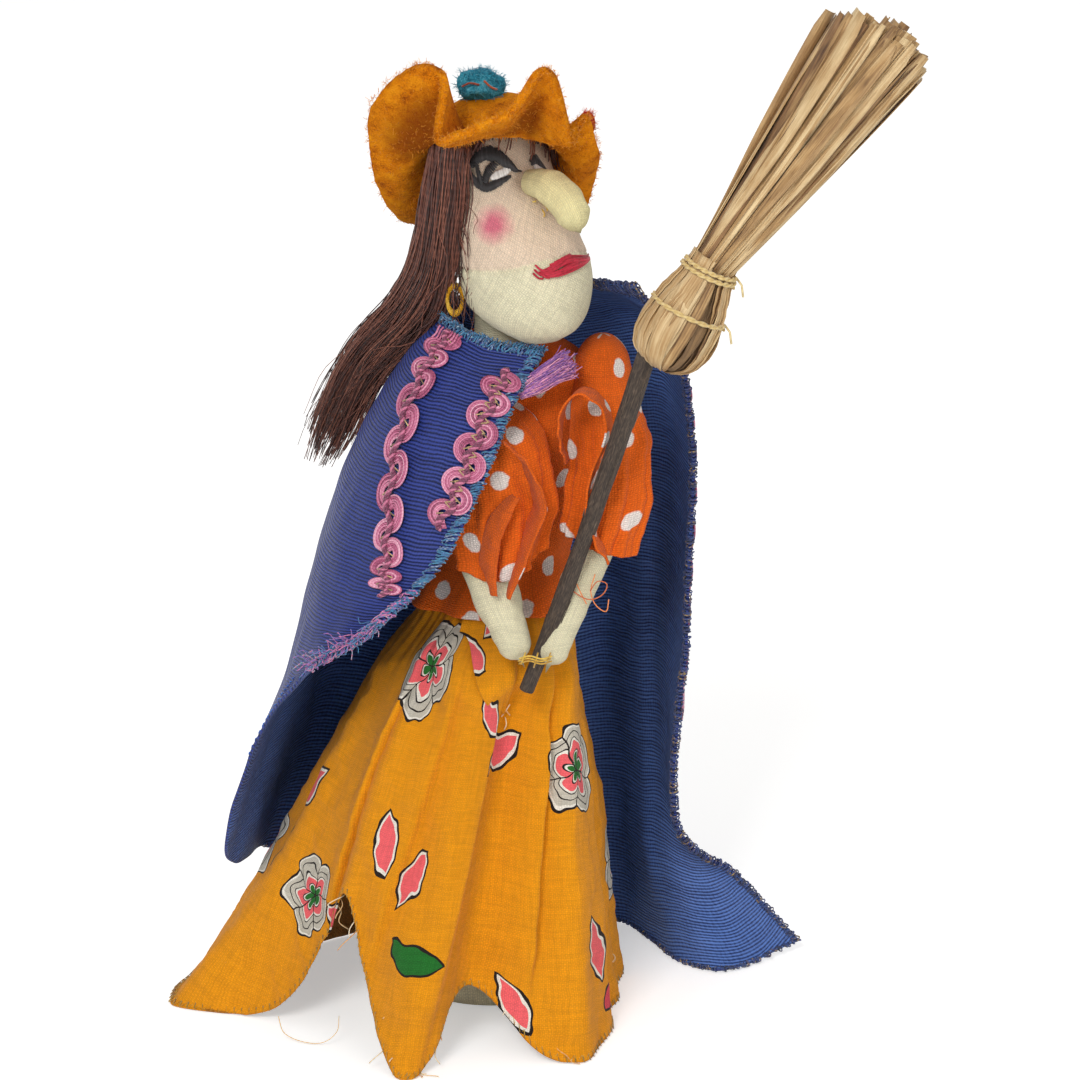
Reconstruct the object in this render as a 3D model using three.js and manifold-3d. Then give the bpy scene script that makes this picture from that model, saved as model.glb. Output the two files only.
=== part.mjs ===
// A stuffed cloth witch doll with a ruffled felt hat, a ribbed cape and a straw broom.
// Millimetres, +Z up. The doll looks towards -Y; its own right side is at -X.
// The origin is the middle of the flat foot of the stuffed body.
import * as THREE from 'three';
import { mergeVertices } from 'three/addons/utils/BufferGeometryUtils.js';
import Module from 'manifold-3d';

const wasm = await Module();
wasm.setup();

// Materials' thicknesses and the clearance between pieces that touch
const gap = 0.3;
const printedCotton = 0.9;
const capeFaille = 1.0;
const hatFelt = 2.2;
const scrapFelt = 1.6;
const gimpThickness = 1.2;
const threadPad = 0.9;
const hairCover = 1.4;

// Stuffed body: station = height, middle x, middle y, half width, half depth
const waistHeight = 116;
const neckTopHeight = 191;
const bodySides = 16;
const bodyStations = [
  [0, 0, 0, 19, 17],
  [5, 0, 0, 24, 21],
  [45, 0, 0, 25, 22],
  [85, 1, -1, 21, 17],
  [waistHeight, 2, -1, 16.4, 13.5],
  [142, 6, 0, 18, 12.5],
  [166, 9.5, 0, 18.5, 12],
  [177, 9, -0.5, 14, 10.5],
  [184, 5, -1.5, 8.8, 8.8],
  [neckTopHeight + 6, 4, -2, 8.2, 8.2],
];

// Neck and the dowel that stiffens it
const neck = new THREE.Vector3(4, -2, 184);
const dowelRadius = 2.5;
const dowelBelowNeck = 24;
const dowelInHead = 34;
const headTurnLimit = THREE.MathUtils.degToRad(15);

// Head: station = height above the neck, forward shift, half depth, half width
const faceTurn = THREE.MathUtils.degToRad(36);
const headStations = [
  [2.2, 14.5, 6, 6],
  [5.5, 12, 13.5, 11],
  [10.5, 9.5, 17.8, 14.6],
  [19, 8.5, 19, 16],
  [26.5, 5.5, 17.6, 15.6],
  [34, 1.5, 15.2, 14.8],
  [42, -2, 13.6, 13.8],
  [50, -3, 11.8, 12],
  [56, -3, 7.5, 7.8],
];
const headTop = 58.4;
const chinDrop = 1;
const headSides = 16;

// Nose, from its root on the face to its hanging tip
const noseRadius = 4.7;
const noseRoute = [
  [10.6, -13.2, 42.8],
  [15.6, -19, 43],
  [20.4, -24.2, 39.4],
  [22.8, -26.8, 34.2],
];

// Hair over the brow: it spans these bearings, and falls lower to the temples than over the nose
const fringeBearings = [-105, 96];
const fringePartBearing = -25;
const fringeTop = 58;
const fringeBottom = 55.4;
const rightTempleFall = 11.5;
const leftTempleFall = 5;

// Cloth hoop that hangs beside the face
const earHoopPlace = [-12.6, -7.6, 10];
const earHoopDepth = 1.6;
const earHoopOutside = [2.4, 4.2];
const earHoopInside = [1.4, 3.1];

// Hair lock beside the face, from under the hat to its tips, and the way its flat side looks
const lockRoute = [
  [-14.5, -11, 49],
  [-15.8, -10.3, 36],
  [-17.9, -7, 21],
  [-23.5, 1, 6],
  [-36.3, 10.5, -12],
  [-44.5, 16.5, -30],
  [-50.3, 18.5, -45],
];
const lockHalfWidths = [5.2, 6, 6.7, 7.4, 7.2, 6.6, 6.4, 4.6];
const lockHalfDepth = 3.4;
const lockFront = new THREE.Vector3(-0.45, -0.9, 0).normalize();

// Embroidered pads on the face: bearing and height of the middle, half sizes, slope
const mouthPad = { bearing: 4, height: 23.4, halfBearing: 27, halfHeight: 2.6, slope: 0.2 };
const rightEyePad = { bearing: -42, height: 45.8, halfBearing: 25, halfHeight: 3.7, slope: 0.4 };
const leftEyePad = { bearing: 19, height: 46.4, halfBearing: 11, halfHeight: 2.4, slope: -1 };

// Felt hat: station of the rim = bearing in degrees, reach from the hat's middle, height
const hatMiddle = new THREE.Vector3(2, -3, 0);
const hatCrownHeight = 246;
const headbandRadius = 17.4;
const headbandHeight = 233;
const headbandTilt = 8.5;
const brimCurl = 5;
const crownShare = 0.36;
const hatRim = [
  [-176, 31, 229],
  [-164, 33, 241],
  [-151, 34, 250],
  [-137, 33, 257.5],
  [-123, 31.5, 261],
  [-114.5, 30.5, 257.5],
  [-109.5, 42, 246],
  [-103, 43.5, 247.6],
  [-94, 43, 250.8],
  [-86, 42, 253],
  [-80, 41.5, 258],
  [-75, 41, 262.7],
  [-69, 39.5, 261.5],
  [-64.5, 38, 253],
  [-58.5, 35.5, 243],
  [-51, 32, 245.5],
  [-43, 31.5, 246.5],
  [-32, 29.5, 238],
  [-10, 25, 228.5],
  [14, 23.5, 217],
  [55, 28, 208],
  [95, 31, 205],
  [130, 30, 206],
  [158, 29, 214],
];
const puffHalfWidth = 6.2;
const puffHalfHeight = 3.4;
const scrapBearing = -38;

// Blouse and sleeves
const blouseHeights = [183, 180, 177, 172, 165, 150, 134, 123, waistHeight, waistHeight - 4];
const blouseHemEase = 4.6;
const shoulderHeight = 174;
const shoulderDepth = -6;
const shoulderRadius = 7.7;
const sleeveFlatness = 0.66;
const sleeveDomeShare = 0.26;
const sleeveFolds = 5;
const sleeveFoldDepth = 1;
const armLiftLimit = THREE.MathUtils.degToRad(8);
const rightShoulder = new THREE.Vector3(-6.4, shoulderDepth, shoulderHeight);
const leftShoulder = new THREE.Vector3(29, shoulderDepth, shoulderHeight);

// Arms: route from the shoulder to the hand, and the half thickness on the way
const rightArmRoute = [
  rightShoulder.toArray(),
  [-4.4, -17, 159],
  [-3.8, -24, 142],
  [2, -31.5, 122],
  [8.2, -37.6, 107.6],
];
const rightArmRadii = [5.6, 5.9, 6.8, 6.2, 4];
const leftArmRoute = [
  leftShoulder.toArray(),
  [31, -16, 158],
  [28.2, -24, 138],
  [21, -31.2, 121],
  [15.2, -37.6, 106.2],
];
const leftArmRadii = [5.6, 5.7, 5.3, 4.8, 3.9];

// Skirt: the hem's stations are bearing in degrees, reach from the hem's middle, height, and how
// late the cloth flares out to it
const skirtHem = { x: -18, y: -8 };
const hipBulge = 5;
const gatherBulge = 4;
const lapBulge = 7;
const skirtCornerReach = 67;
const skirtColumnsPerStation = 3;
const skirtHemStations = [
  [-176, skirtCornerReach, 0, 2],
  [-165, 50, 0.5, 1.15],
  [-151, 38, 9, 1.1],
  [-138, 34, 27, 1.2],
  [-124, 33.4, 42.5, 1.1],
  [-112, 38, 22, 1.1],
  [-96, 50, 0, 1.1],
  [-87, 46, 4, 1.1],
  [-77, 38, 17, 1.1],
  [-64, 38, 17, 1.1],
  [-53, 51, 3, 1],
  [-43, 59, 0, 0.8],
  [-26, 54, 0, 0.85],
  [-8, 50, 0, 0.92],
  [20, 54, 0, 0.92],
  [60, 44, 0, 1],
  [100, 43.5, 0, 1],
  [140, 47, 0, 1],
  [162, 60, 0, 1.5],
];

// Cape: each column runs from the collar to the hem; the first is the front edge on the doll's
// right, the last the front edge on its left
const capeColumns = [
  [[14, -17.5, 183.6], [7, -26.5, 174], [-2, -39, 154], [-13, -45, 134.7], [-30, -44.5, 118], [-38, -42.5, 112],
    [-45, -40, 107]],
  [[2, -15, 184.6], [-8, -26, 173.7], [-17, -35, 153], [-28, -38.5, 131.5], [-42, -36, 110], [-49, -31.5, 99],
    [-56, -26, 88]],
  [[-9.5, -8.5, 188.5], [-19, -12, 178], [-32, -14, 155], [-42.8, -15, 128], [-51.2, -14, 98], [-59, -14, 79],
    [-67, -14, 60]],
  [[-10.5, 2, 190], [-20, 5, 178], [-33, 8, 154], [-42.8, 9, 124], [-51.5, 2, 90], [-61, -3, 64], [-69.5, -7, 38.5]],
  [[-1.5, 9, 190.5], [-14, 19, 178], [-23, 28, 151], [-31, 34, 114], [-45, 27, 74], [-53, 21, 53], [-61, 14, 33]],
  [[7, 10.5, 191.5], [5, 22, 179], [3, 32, 151], [-2, 40, 108], [-8, 45, 58], [-11, 47, 29], [-14, 49, -0.5]],
  [[15, 8, 193], [26, 18, 181], [30, 28, 152], [30, 36, 106], [32, 38, 55], [33, 38, 27], [35, 37, -0.5]],
  [[25, 2, 196], [40, 9, 184], [46, 15, 153], [46, 18, 104], [46, 19, 52], [49, 14, 24], [60, 6.5, -0.5]],
  [[37, -6, 197.5], [48, -4, 180], [52.5, 0, 150], [51.3, 0, 100], [50, 1, 44], [65, 11, 27.5], [83, 21, 3]],
];

// Folds down the back of the cape
const capeFolds = 8;
const capeFoldDepth = 2.2;

// Gimp braid sewn on the cape along places given as shares across and down it, and the frayed
// tassel at its collar
const outerGimpPlaces = [[0.22, 0.025], [0.205, 0.167], [0.17, 0.333], [0.105, 0.492], [0.06, 0.558]];
const outerGimpLength = 84;
const frontGimpPlaces = [[0.046, 0.083], [0.046, 0.25], [0.042, 0.417]];
const frontGimpLength = 50;
const leftGimpPlaces = [[0.955, 0.033], [0.955, 0.333], [0.955, 0.583]];
const leftGimpLength = 122;
const gimpWidth = 9.5;
const gimpScallop = 9;
const gimpRise = 0.35;
const tasselRadius = 3.4;
const tasselRoute = [
  [7.5, -23, 174],
  [12.5, -22.6, 177],
  [19, -20.5, 180.5],
];

// Broom: a faceted stick held in the hands, and a straw head tied on at a slant
const stickRadius = 2.6;
const stickSides = 7;
const stickFoot = new THREE.Vector3(9.6, -36, 98.5);
const stickLean = THREE.MathUtils.degToRad(18.3);
const stickLength = 104;
const stickInStraw = 11;
const strawFromStickFoot = stickLength - stickInStraw;
const strawOffset = 4.2;
const bulbSlant = THREE.MathUtils.degToRad(8);
const brushSlant = THREE.MathUtils.degToRad(9);
const bulbLength = 29.5;
const bulbHalfWidth = 9.4;
const bulbFlatness = 0.78;
const strawRib = 0.03;
const neckHalfWidth = 5.7;
const windowHalfSizes = [1.9, 4.5, 7.5];
const windowPlace = [3.4, -7.5, 18];
const windowTurn = 0.12;
const brushLength = 74;
const brushTipHalfWidth = 15;
const strandCount = 90;
const strandWidth = 1.5;
const tieRadius = 0.55;
const stitchRadius = 0.4;

// Colours
const ecruCalico = 0xe0d8b4;
const blushCalico = 0xe3cdb5;
const orangeCotton = 0xe0560f;
const mustardCotton = 0xdb920c;
const blueFaille = 0x3f4f9e;
const pinkGimp = 0xd2708f;
const strawTan = 0xcba876;

const finish = (color, roughness = 0.9) => new THREE.MeshStandardMaterial({ color, roughness, metalness: 0 });
const vector = ([x, y, z]) => new THREE.Vector3(x, y, z);

// Closed surfaces

function closedGeometry(positions, triangles) {
  const geometry = new THREE.BufferGeometry();
  geometry.setAttribute('position', new THREE.Float32BufferAttribute(positions, 3));
  geometry.setIndex(triangles);
  const merged = mergeVertices(geometry, 1e-4);
  const index = merged.index.array;
  const kept = [];
  for (let i = 0; i < index.length; i += 3) {
    const [a, b, c] = [index[i], index[i + 1], index[i + 2]];
    if (a !== b && b !== c && c !== a) kept.push(a, b, c);
  }
  if (signedVolume(merged.attributes.position, kept) < 0) kept.reverse();
  merged.setIndex(kept);
  merged.computeVertexNormals();
  return merged;
}

function signedVolume(position, triangles) {
  const [a, b, c] = [new THREE.Vector3(), new THREE.Vector3(), new THREE.Vector3()];
  let volume = 0;
  for (let i = 0; i < triangles.length; i += 3) {
    a.fromBufferAttribute(position, triangles[i]);
    b.fromBufferAttribute(position, triangles[i + 1]);
    c.fromBufferAttribute(position, triangles[i + 2]);
    volume += a.dot(b.cross(c)) / 6;
  }
  return volume;
}

// Joins rings of equally many points, and closes both ends on a point or the ring itself to a loop.
function loft(rings, first, last) {
  const count = rings[0].length;
  const positions = rings.flat().flatMap((point) => point.toArray());
  const triangles = [];
  const steps = first ? rings.length - 1 : rings.length;
  for (let ring = 0; ring < steps; ring += 1) {
    for (let side = 0; side < count; side += 1) {
      const next = (side + 1) % count;
      const [a, b] = [ring * count + side, ring * count + next];
      const above = ((ring + 1) % rings.length) * count;
      triangles.push(a, b, above + next, a, above + next, above + side);
    }
  }
  if (first) {
    const start = positions.length / 3;
    positions.push(...first.toArray(), ...last.toArray());
    const top = (rings.length - 1) * count;
    for (let side = 0; side < count; side += 1) {
      const next = (side + 1) % count;
      triangles.push(start, next, side, start + 1, top + side, top + next);
    }
  }
  return closedGeometry(positions, triangles);
}

// Cloth of even thickness whose middle surface is at(u, v); closed joins u = 1 to u = 0.
function clothSlab(at, columns, rows, thickness, { closed = false, pole = null } = {}) {
  const nudge = 1e-3;
  const across = closed ? columns : columns + 1;
  const positions = [];
  for (const side of [1, -1]) {
    for (let row = 0; row <= rows; row += 1) {
      for (let column = 0; column < across; column += 1) {
        const [u, v] = [column / columns, row / rows];
        const left = closed ? u - nudge : Math.max(0, u - nudge);
        const right = closed ? u + nudge : Math.min(1, u + nudge);
        const alongU = at(right, v).sub(at(left, v));
        const alongV = at(u, Math.min(1, v + nudge)).sub(at(u, Math.max(0, v - nudge)));
        const normal = pole && row === 0 ? pole.clone() : alongU.cross(alongV).normalize();
        positions.push(...at(u, v).addScaledVector(normal, side * thickness / 2).toArray());
      }
    }
  }
  const back = across * (rows + 1);
  const triangles = [];
  const quad = (a, b, c, d) => triangles.push(a, b, c, a, c, d);
  for (let row = 0; row < rows; row += 1) {
    for (let column = 0; column < columns; column += 1) {
      const next = (column + 1) % across;
      const [a, b] = [row * across + column, row * across + next];
      quad(a, b, b + across, a + across);
      quad(a + back, a + across + back, b + across + back, b + back);
    }
  }
  for (let column = 0; column < columns; column += 1) {
    const next = (column + 1) % across;
    const end = rows * across;
    quad(column + back, next + back, next, column);
    quad(end + column, end + next, end + next + back, end + column + back);
  }
  if (!closed) {
    for (let row = 0; row < rows; row += 1) {
      const [a, b] = [row * across, row * across + columns];
      quad(a, a + across, a + across + back, a + back);
      quad(b + back, b + across + back, b + across, b);
    }
  }
  return closedGeometry(positions, triangles);
}

// A stuffed or solid rod along a route: half width and half depth at each share of its length.
function sweep(route, sizeAt, sides, steps, { tip = 0, front = new THREE.Vector3(0, -1, 0) } = {}) {
  const rings = [];
  for (let step = 0; step <= steps; step += 1) {
    const share = step / steps;
    const middle = route.getPointAt(share);
    const along = route.getTangentAt(share);
    const across = along.clone().cross(front).normalize();
    const deep = across.clone().cross(along).normalize();
    const [halfWidth, halfDepth] = sizeAt(share);
    const ring = [];
    for (let side = 0; side < sides; side += 1) {
      const turn = 2 * Math.PI * side / sides;
      const point = middle.clone().addScaledVector(across, halfWidth * Math.cos(turn));
      ring.push(point.addScaledVector(deep, halfDepth * Math.sin(turn)));
    }
    rings.push(ring);
  }
  const start = route.getPointAt(0).addScaledVector(route.getTangentAt(0), -tip);
  const end = route.getPointAt(1).addScaledVector(route.getTangentAt(1), tip);
  return loft(rings, start, end);
}

const routeOf = (points) => new THREE.CatmullRomCurve3(points.map(vector));

// A value between evenly spaced samples, smoothly joined
function smoothValue(samples, share) {
  const place = Math.min(0.99999, Math.max(0, share)) * (samples.length - 1);
  const index = Math.floor(place);
  const ease = THREE.MathUtils.smoothstep(place - index, 0, 1);
  return THREE.MathUtils.lerp(samples[index], samples[index + 1], ease);
}

// Row of a station table at a height, smoothly joined; the first number of a row is its height
function stationAt(stations, height) {
  const last = stations.length - 1;
  let index = stations.findIndex((station) => station[0] > height) - 1;
  if (index === -2) index = last - 1;
  index = Math.max(0, index);
  const [low, high] = [stations[index], stations[index + 1]];
  const before = stations[Math.max(0, index - 1)];
  const after = stations[Math.min(last, index + 2)];
  const share = THREE.MathUtils.clamp((height - low[0]) / (high[0] - low[0]), 0, 1);
  return low.map((value, i) => {
    const span = high[0] - low[0];
    const leaving = span * (high[i] - before[i]) / Math.max(1e-6, high[0] - before[0]);
    const arriving = span * (after[i] - value) / Math.max(1e-6, after[0] - low[0]);
    const [s2, s3] = [share ** 2, share ** 3];
    return (2 * s3 - 3 * s2 + 1) * value + (s3 - 2 * s2 + share) * leaving
      + (3 * s2 - 2 * s3) * high[i] + (s3 - s2) * arriving;
  });
}

// Reach, height and any further measure of an edge at a bearing, from its stations round the compass
function edgeAt(stations, bearing) {
  const first = stations[0][0];
  const turned = first + THREE.MathUtils.euclideanModulo(bearing - first, 360);
  const laps = [-1, 0, 1].flatMap((lap) => stations.map(([at, ...rest]) => [at + 360 * lap, ...rest]));
  const [, reach, height, flare] = stationAt(laps, turned);
  return { reach, height, flare };
}

// Bearing at a share of the way round an edge, so that its stations lie evenly spaced
function stationBearing(stations, share) {
  const place = THREE.MathUtils.euclideanModulo(share, 1) * stations.length;
  const index = Math.min(stations.length - 1, Math.floor(place));
  const [start] = stations[index];
  const end = index + 1 < stations.length ? stations[index + 1][0] : stations[0][0] + 360;
  return THREE.MathUtils.lerp(start, end, place - index);
}

// Cutting and joining of closed solids

function toSolid(geometry) {
  const bare = new THREE.BufferGeometry();
  bare.setAttribute('position', geometry.attributes.position.clone());
  if (geometry.index) bare.setIndex(geometry.index.clone());
  const merged = mergeVertices(bare, 1e-4);
  const vertProperties = new Float32Array(merged.attributes.position.array);
  const triVerts = new Uint32Array(merged.index.array);
  return new wasm.Manifold(new wasm.Mesh({ numProp: 3, vertProperties, triVerts }));
}

function toGeometry(solid) {
  const mesh = solid.getMesh();
  const geometry = new THREE.BufferGeometry();
  geometry.setAttribute('position', new THREE.Float32BufferAttribute(mesh.vertProperties, 3));
  geometry.setIndex(Array.from(mesh.triVerts));
  geometry.computeVertexNormals();
  return geometry;
}

function cutBy(geometry, ...cutters) {
  let solid = toSolid(geometry);
  for (const cutter of cutters) solid = solid.subtract(toSolid(cutter));
  const pieces = solid.decompose();
  const sizeOf = (piece) => (piece.volume ? piece.volume() : piece.getProperties().volume);
  pieces.sort((one, other) => sizeOf(other) - sizeOf(one));
  return toGeometry(pieces[0]);
}

function joined(geometries) {
  let solid = toSolid(geometries[0]);
  for (const geometry of geometries.slice(1)) solid = solid.add(toSolid(geometry));
  return toGeometry(solid);
}

const floorBlock = new THREE.BoxGeometry(600, 600, 40).translate(0, 0, -20);
const standFlat = (geometry) => cutBy(geometry, floorBlock);

// Stuffed body and blouse

function bodyPoint(bearing, height, grow) {
  const [, x, y, halfWidth, halfDepth] = stationAt(bodyStations, height);
  const turn = THREE.MathUtils.degToRad(bearing);
  const point = new THREE.Vector3(Math.cos(turn), Math.sin(turn), 0);
  return point.set(x + (halfWidth + grow) * point.x, y + (halfDepth + grow) * point.y, height);
}

function bodyForm() {
  const rings = [];
  const below = [0, 2, 7, 28, 60, 92];
  const dressed = blouseHeights.filter((height) => height >= waistHeight).reverse();
  for (const height of [...below, ...dressed, neck.z + 3, neckTopHeight]) {
    const ring = [];
    for (let side = 0; side < bodySides; side += 1) ring.push(bodyPoint(360 * side / bodySides, height, 0));
    rings.push(ring);
  }
  const foot = vector([0, 0, 0]);
  const top = new THREE.Vector3(neck.x, neck.y, neckTopHeight);
  return loft(rings, foot, top);
}

function blouseForm() {
  const rows = blouseHeights.length - 1;
  const at = (u, v) => {
    const row = Math.min(rows - 1, Math.floor(v * rows));
    const height = THREE.MathUtils.lerp(blouseHeights[row], blouseHeights[row + 1], v * rows - row);
    const lap = THREE.MathUtils.clamp((waistHeight + 8 - height) / 12, 0, 1);
    const ruffle = 0.4 * lap * (1 + Math.cos(14 * Math.PI * u));
    return bodyPoint(-360 * u, height, gap + 0.7 * printedCotton + blouseHemEase * lap + ruffle);
  };
  return clothSlab(at, bodySides, rows, printedCotton, { closed: true });
}

// Head, drawn above the neck joint

const facing = new THREE.Vector3(Math.sin(faceTurn), -Math.cos(faceTurn), 0);
const sideways = new THREE.Vector3(Math.cos(faceTurn), Math.sin(faceTurn), 0);

// Point on the head; bearing 0 looks forward, positive bearings turn to the doll's left
function headPoint(bearing, height, grow) {
  const [, forward, halfDepth, halfWidth] = stationAt(headStations, height);
  const turn = THREE.MathUtils.degToRad(bearing);
  const point = new THREE.Vector3(0, 0, height);
  point.addScaledVector(facing, forward + (halfDepth + grow) * Math.cos(turn));
  return point.addScaledVector(sideways, (halfWidth + grow) * Math.sin(turn));
}

function headForm(grow) {
  const rings = [];
  const [low, high] = [headStations[0][0], headStations[headStations.length - 1][0]];
  const levels = 13;
  for (let level = 0; level <= levels; level += 1) {
    const height = THREE.MathUtils.lerp(low, high, level / levels);
    const ring = [];
    for (let side = 0; side < headSides; side += 1) ring.push(headPoint(360 * side / headSides, height, grow));
    rings.push(ring);
  }
  const chin = new THREE.Vector3(0, 0, low - chinDrop - grow).addScaledVector(facing, headStations[0][1]);
  const top = new THREE.Vector3(0, 0, headTop + grow).addScaledVector(facing, headStations.at(-1)[1]);
  return loft(rings, chin, top);
}

function dowelForm(grow) {
  const length = dowelBelowNeck + dowelInHead + 2 * grow;
  const dowel = new THREE.CylinderGeometry(dowelRadius + grow, dowelRadius + grow, length, 16);
  return dowel.rotateX(Math.PI / 2).translate(0, 0, (dowelInHead - dowelBelowNeck) / 2);
}

// A raised pad of stitches on the face between two bearings, lens shaped
function stitchPad({ bearing, height, halfBearing, halfHeight, slope }) {
  const at = (u, v) => {
    const side = 2 * u - 1;
    const lens = 0.3 + 0.7 * Math.cos(side * Math.PI / 2);
    const level = height + slope * side + halfHeight * lens * (1 - 2 * v);
    return headPoint(bearing + halfBearing * side, level, gap + threadPad / 2);
  };
  return clothSlab(at, 6, 2, threadPad);
}

function noseForm(grow) {
  const swell = [0.7, 0.84, 0.98, 1, 0.94, 0.62];
  const radius = (share) => noseRadius * smoothValue(swell, share) + grow;
  const size = (share) => [radius(share), radius(share)];
  const nose = sweep(routeOf(noseRoute), size, 9, 7, { tip: 0.9 + grow, front: new THREE.Vector3(0, 0, 1) });
  return nose.translate(-neck.x, -neck.y, 0);
}

// Hair over the brow: its lower edge arches above the eyes and its upper edge is under the hat
function fringeForm() {
  const at = (u, v) => {
    const bearing = THREE.MathUtils.lerp(...fringeBearings, u);
    const side = bearing - fringePartBearing;
    const fall = side < 0 ? rightTempleFall * (-side / 60) ** 1.6 : leftTempleFall * (side / 70) ** 2;
    return headPoint(bearing, THREE.MathUtils.lerp(fringeTop, fringeBottom - fall, v), gap + hairCover / 2);
  };
  return clothSlab(at, 16, 2, hairCover);
}

function hairLockForm(grow) {
  const size = (share) => [smoothValue(lockHalfWidths, share) + grow, lockHalfDepth + grow];
  return sweep(routeOf(lockRoute), size, 12, 12, { tip: 2.5, front: lockFront });
}

function earHoopForm() {
  const outline = new THREE.Shape();
  outline.absellipse(0, 0, ...earHoopOutside, 0, 2 * Math.PI);
  const hole = new THREE.Path();
  hole.absellipse(0, 0, ...earHoopInside, 0, 2 * Math.PI);
  outline.holes.push(hole);
  const hoop = new THREE.ExtrudeGeometry(outline, { depth: earHoopDepth, bevelEnabled: false, curveSegments: 8 });
  return hoop.rotateX(Math.PI / 2).translate(...earHoopPlace);
}

// Hat, drawn above the neck joint: a felt disc over the crown, gathered into a waved brim
function hatPoint(bearing, v) {
  const turn = THREE.MathUtils.degToRad(bearing);
  const out = new THREE.Vector3(Math.cos(turn), Math.sin(turn), 0);
  const band = hatMiddle.clone().addScaledVector(out, headbandRadius);
  band.z = headbandHeight - headbandTilt * out.y;
  const point = new THREE.Vector3();
  if (v <= crownShare) {
    const turnDown = Math.PI / 2 * v / crownShare;
    point.copy(hatMiddle).lerp(band, Math.sin(turnDown));
    point.z = THREE.MathUtils.lerp(band.z, hatCrownHeight, Math.cos(turnDown));
  } else {
    const share = (v - crownShare) / (1 - crownShare);
    const rim = edgeAt(hatRim, bearing);
    const edge = hatMiddle.clone().addScaledVector(out, rim.reach);
    edge.z = rim.height;
    point.copy(band).lerp(edge, share);
    point.z -= brimCurl * Math.sin(Math.PI * share);
  }
  return point.sub(neck);
}

function hatForm(thickness) {
  const up = new THREE.Vector3(0, 0, 1);
  const at = (u, v) => hatPoint(stationBearing(hatRim, 1 - u), v);
  return clothSlab(at, 3 * hatRim.length, 7, thickness, { closed: true, pole: up });
}

function puffForm() {
  const puff = new THREE.SphereGeometry(1, 12, 8);
  puff.scale(puffHalfWidth, puffHalfWidth * 0.8, puffHalfHeight);
  const above = hatCrownHeight + hatFelt / 2 + gap + puffHalfHeight;
  return puff.translate(-2 - neck.x, -5 - neck.y, above - neck.z - 0.4);
}

function scrapForm() {
  const scrap = new THREE.SphereGeometry(1, 8, 6).scale(2.8, scrapFelt * 0.8, 3.4);
  const seat = hatPoint(scrapBearing, 0.9);
  return scrap.rotateZ(0.7).translate(seat.x, seat.y, seat.z + 4);
}

// Arms and sleeves

function armForm(route, radii, grow) {
  const size = (share) => [smoothValue(radii, share) + grow, 0.94 * smoothValue(radii, share) + grow];
  return sweep(routeOf(route), size, 10, 10, { tip: 2.6 });
}

// A short gathered sleeve: a dome over the shoulder that widens into a slanted, folded hem
function sleevePoint(sleeve, u, v) {
  const bearing = -2 * Math.PI * u;
  const domeRadius = shoulderRadius - printedCotton / 2;
  const share = Math.max(0, (v - sleeveDomeShare) / (1 - sleeveDomeShare));
  const turnDown = Math.PI / 2 * Math.min(1, v / sleeveDomeShare);
  const fold = sleeveFoldDepth * Math.cos(sleeveFolds * bearing + sleeve.foldStart) * share;
  const halfWidth = smoothValue([domeRadius, sleeve.puff, sleeve.puff, sleeve.hem], share) + fold;
  const flatness = THREE.MathUtils.lerp(1, sleeveFlatness, Math.min(1, 5 * share));
  const point = sleeve.route.getPoint(share);
  point.x += halfWidth * Math.cos(bearing) * Math.sin(turnDown);
  point.y += halfWidth * flatness * Math.sin(bearing) * Math.sin(turnDown);
  const lowest = THREE.MathUtils.degToRad(sleeve.lowestBearing);
  point.z += sleeve.crown * Math.cos(turnDown) - sleeve.slant * share * Math.cos(bearing - lowest);
  return point;
}

const rightSleeve = {
  route: routeOf([rightShoulder.toArray(), [0.5, -19, 161], [3, -25, 148], [3, -29, 136]]),
  crown: shoulderRadius - printedCotton / 2,
  puff: 13.2,
  hem: 11.2,
  slant: 8,
  lowestBearing: -100,
  foldStart: 0.4,
};
const leftSleeve = {
  route: routeOf([leftShoulder.toArray(), [31, -17, 160], [30.4, -22.5, 148], [27.6, -27, 136]]),
  crown: shoulderRadius + 2.6,
  puff: 9.8,
  hem: 8.6,
  slant: 3.5,
  lowestBearing: -20,
  foldStart: 2,
};

function sleeveForm(sleeve, thickness) {
  const up = new THREE.Vector3(0, 0, 1);
  const at = (u, v) => sleevePoint(sleeve, u, v);
  return clothSlab(at, 18, 7, thickness, { closed: true, pole: up });
}

// Skirt: a closed sheet from the waist to a hem of deep folds
function skirtPoint(bearing, v) {
  const turn = THREE.MathUtils.degToRad(bearing);
  const out = new THREE.Vector3(Math.cos(turn), Math.sin(turn), 0);
  const waist = bodyPoint(bearing, waistHeight, gap + printedCotton / 2);
  const [, waistX, waistY] = stationAt(bodyStations, waistHeight);
  const waistReach = Math.hypot(waist.x - waistX, waist.y - waistY);
  const hem = edgeAt(skirtHemStations, bearing);
  const onRight = 0.5 - 0.5 * out.x;
  const gather = gatherBulge * THREE.MathUtils.smoothstep(v, 0.05, 0.2);
  const bulge = onRight * (hipBulge * Math.sin(Math.PI * v) + gather);
  const lap = lapBulge * Math.exp(-(((v - 0.16) / 0.07) ** 2)) * Math.max(0, Math.cos(turn + 1.4)) ** 3;
  const reach = THREE.MathUtils.lerp(waistReach, hem.reach, v ** hem.flare) + bulge * (1 - v ** 4) + lap;
  const middle = new THREE.Vector3(
    THREE.MathUtils.lerp(waistX, skirtHem.x, v),
    THREE.MathUtils.lerp(waistY, skirtHem.y, v),
    THREE.MathUtils.lerp(waistHeight, hem.height - 0.5, v),
  );
  return middle.addScaledVector(out, reach);
}

function skirtForm() {
  const columns = skirtColumnsPerStation * skirtHemStations.length;
  const at = (u, v) => skirtPoint(stationBearing(skirtHemStations, 1 - u), v);
  return clothSlab(at, columns, 9, printedCotton, { closed: true });
}

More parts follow.
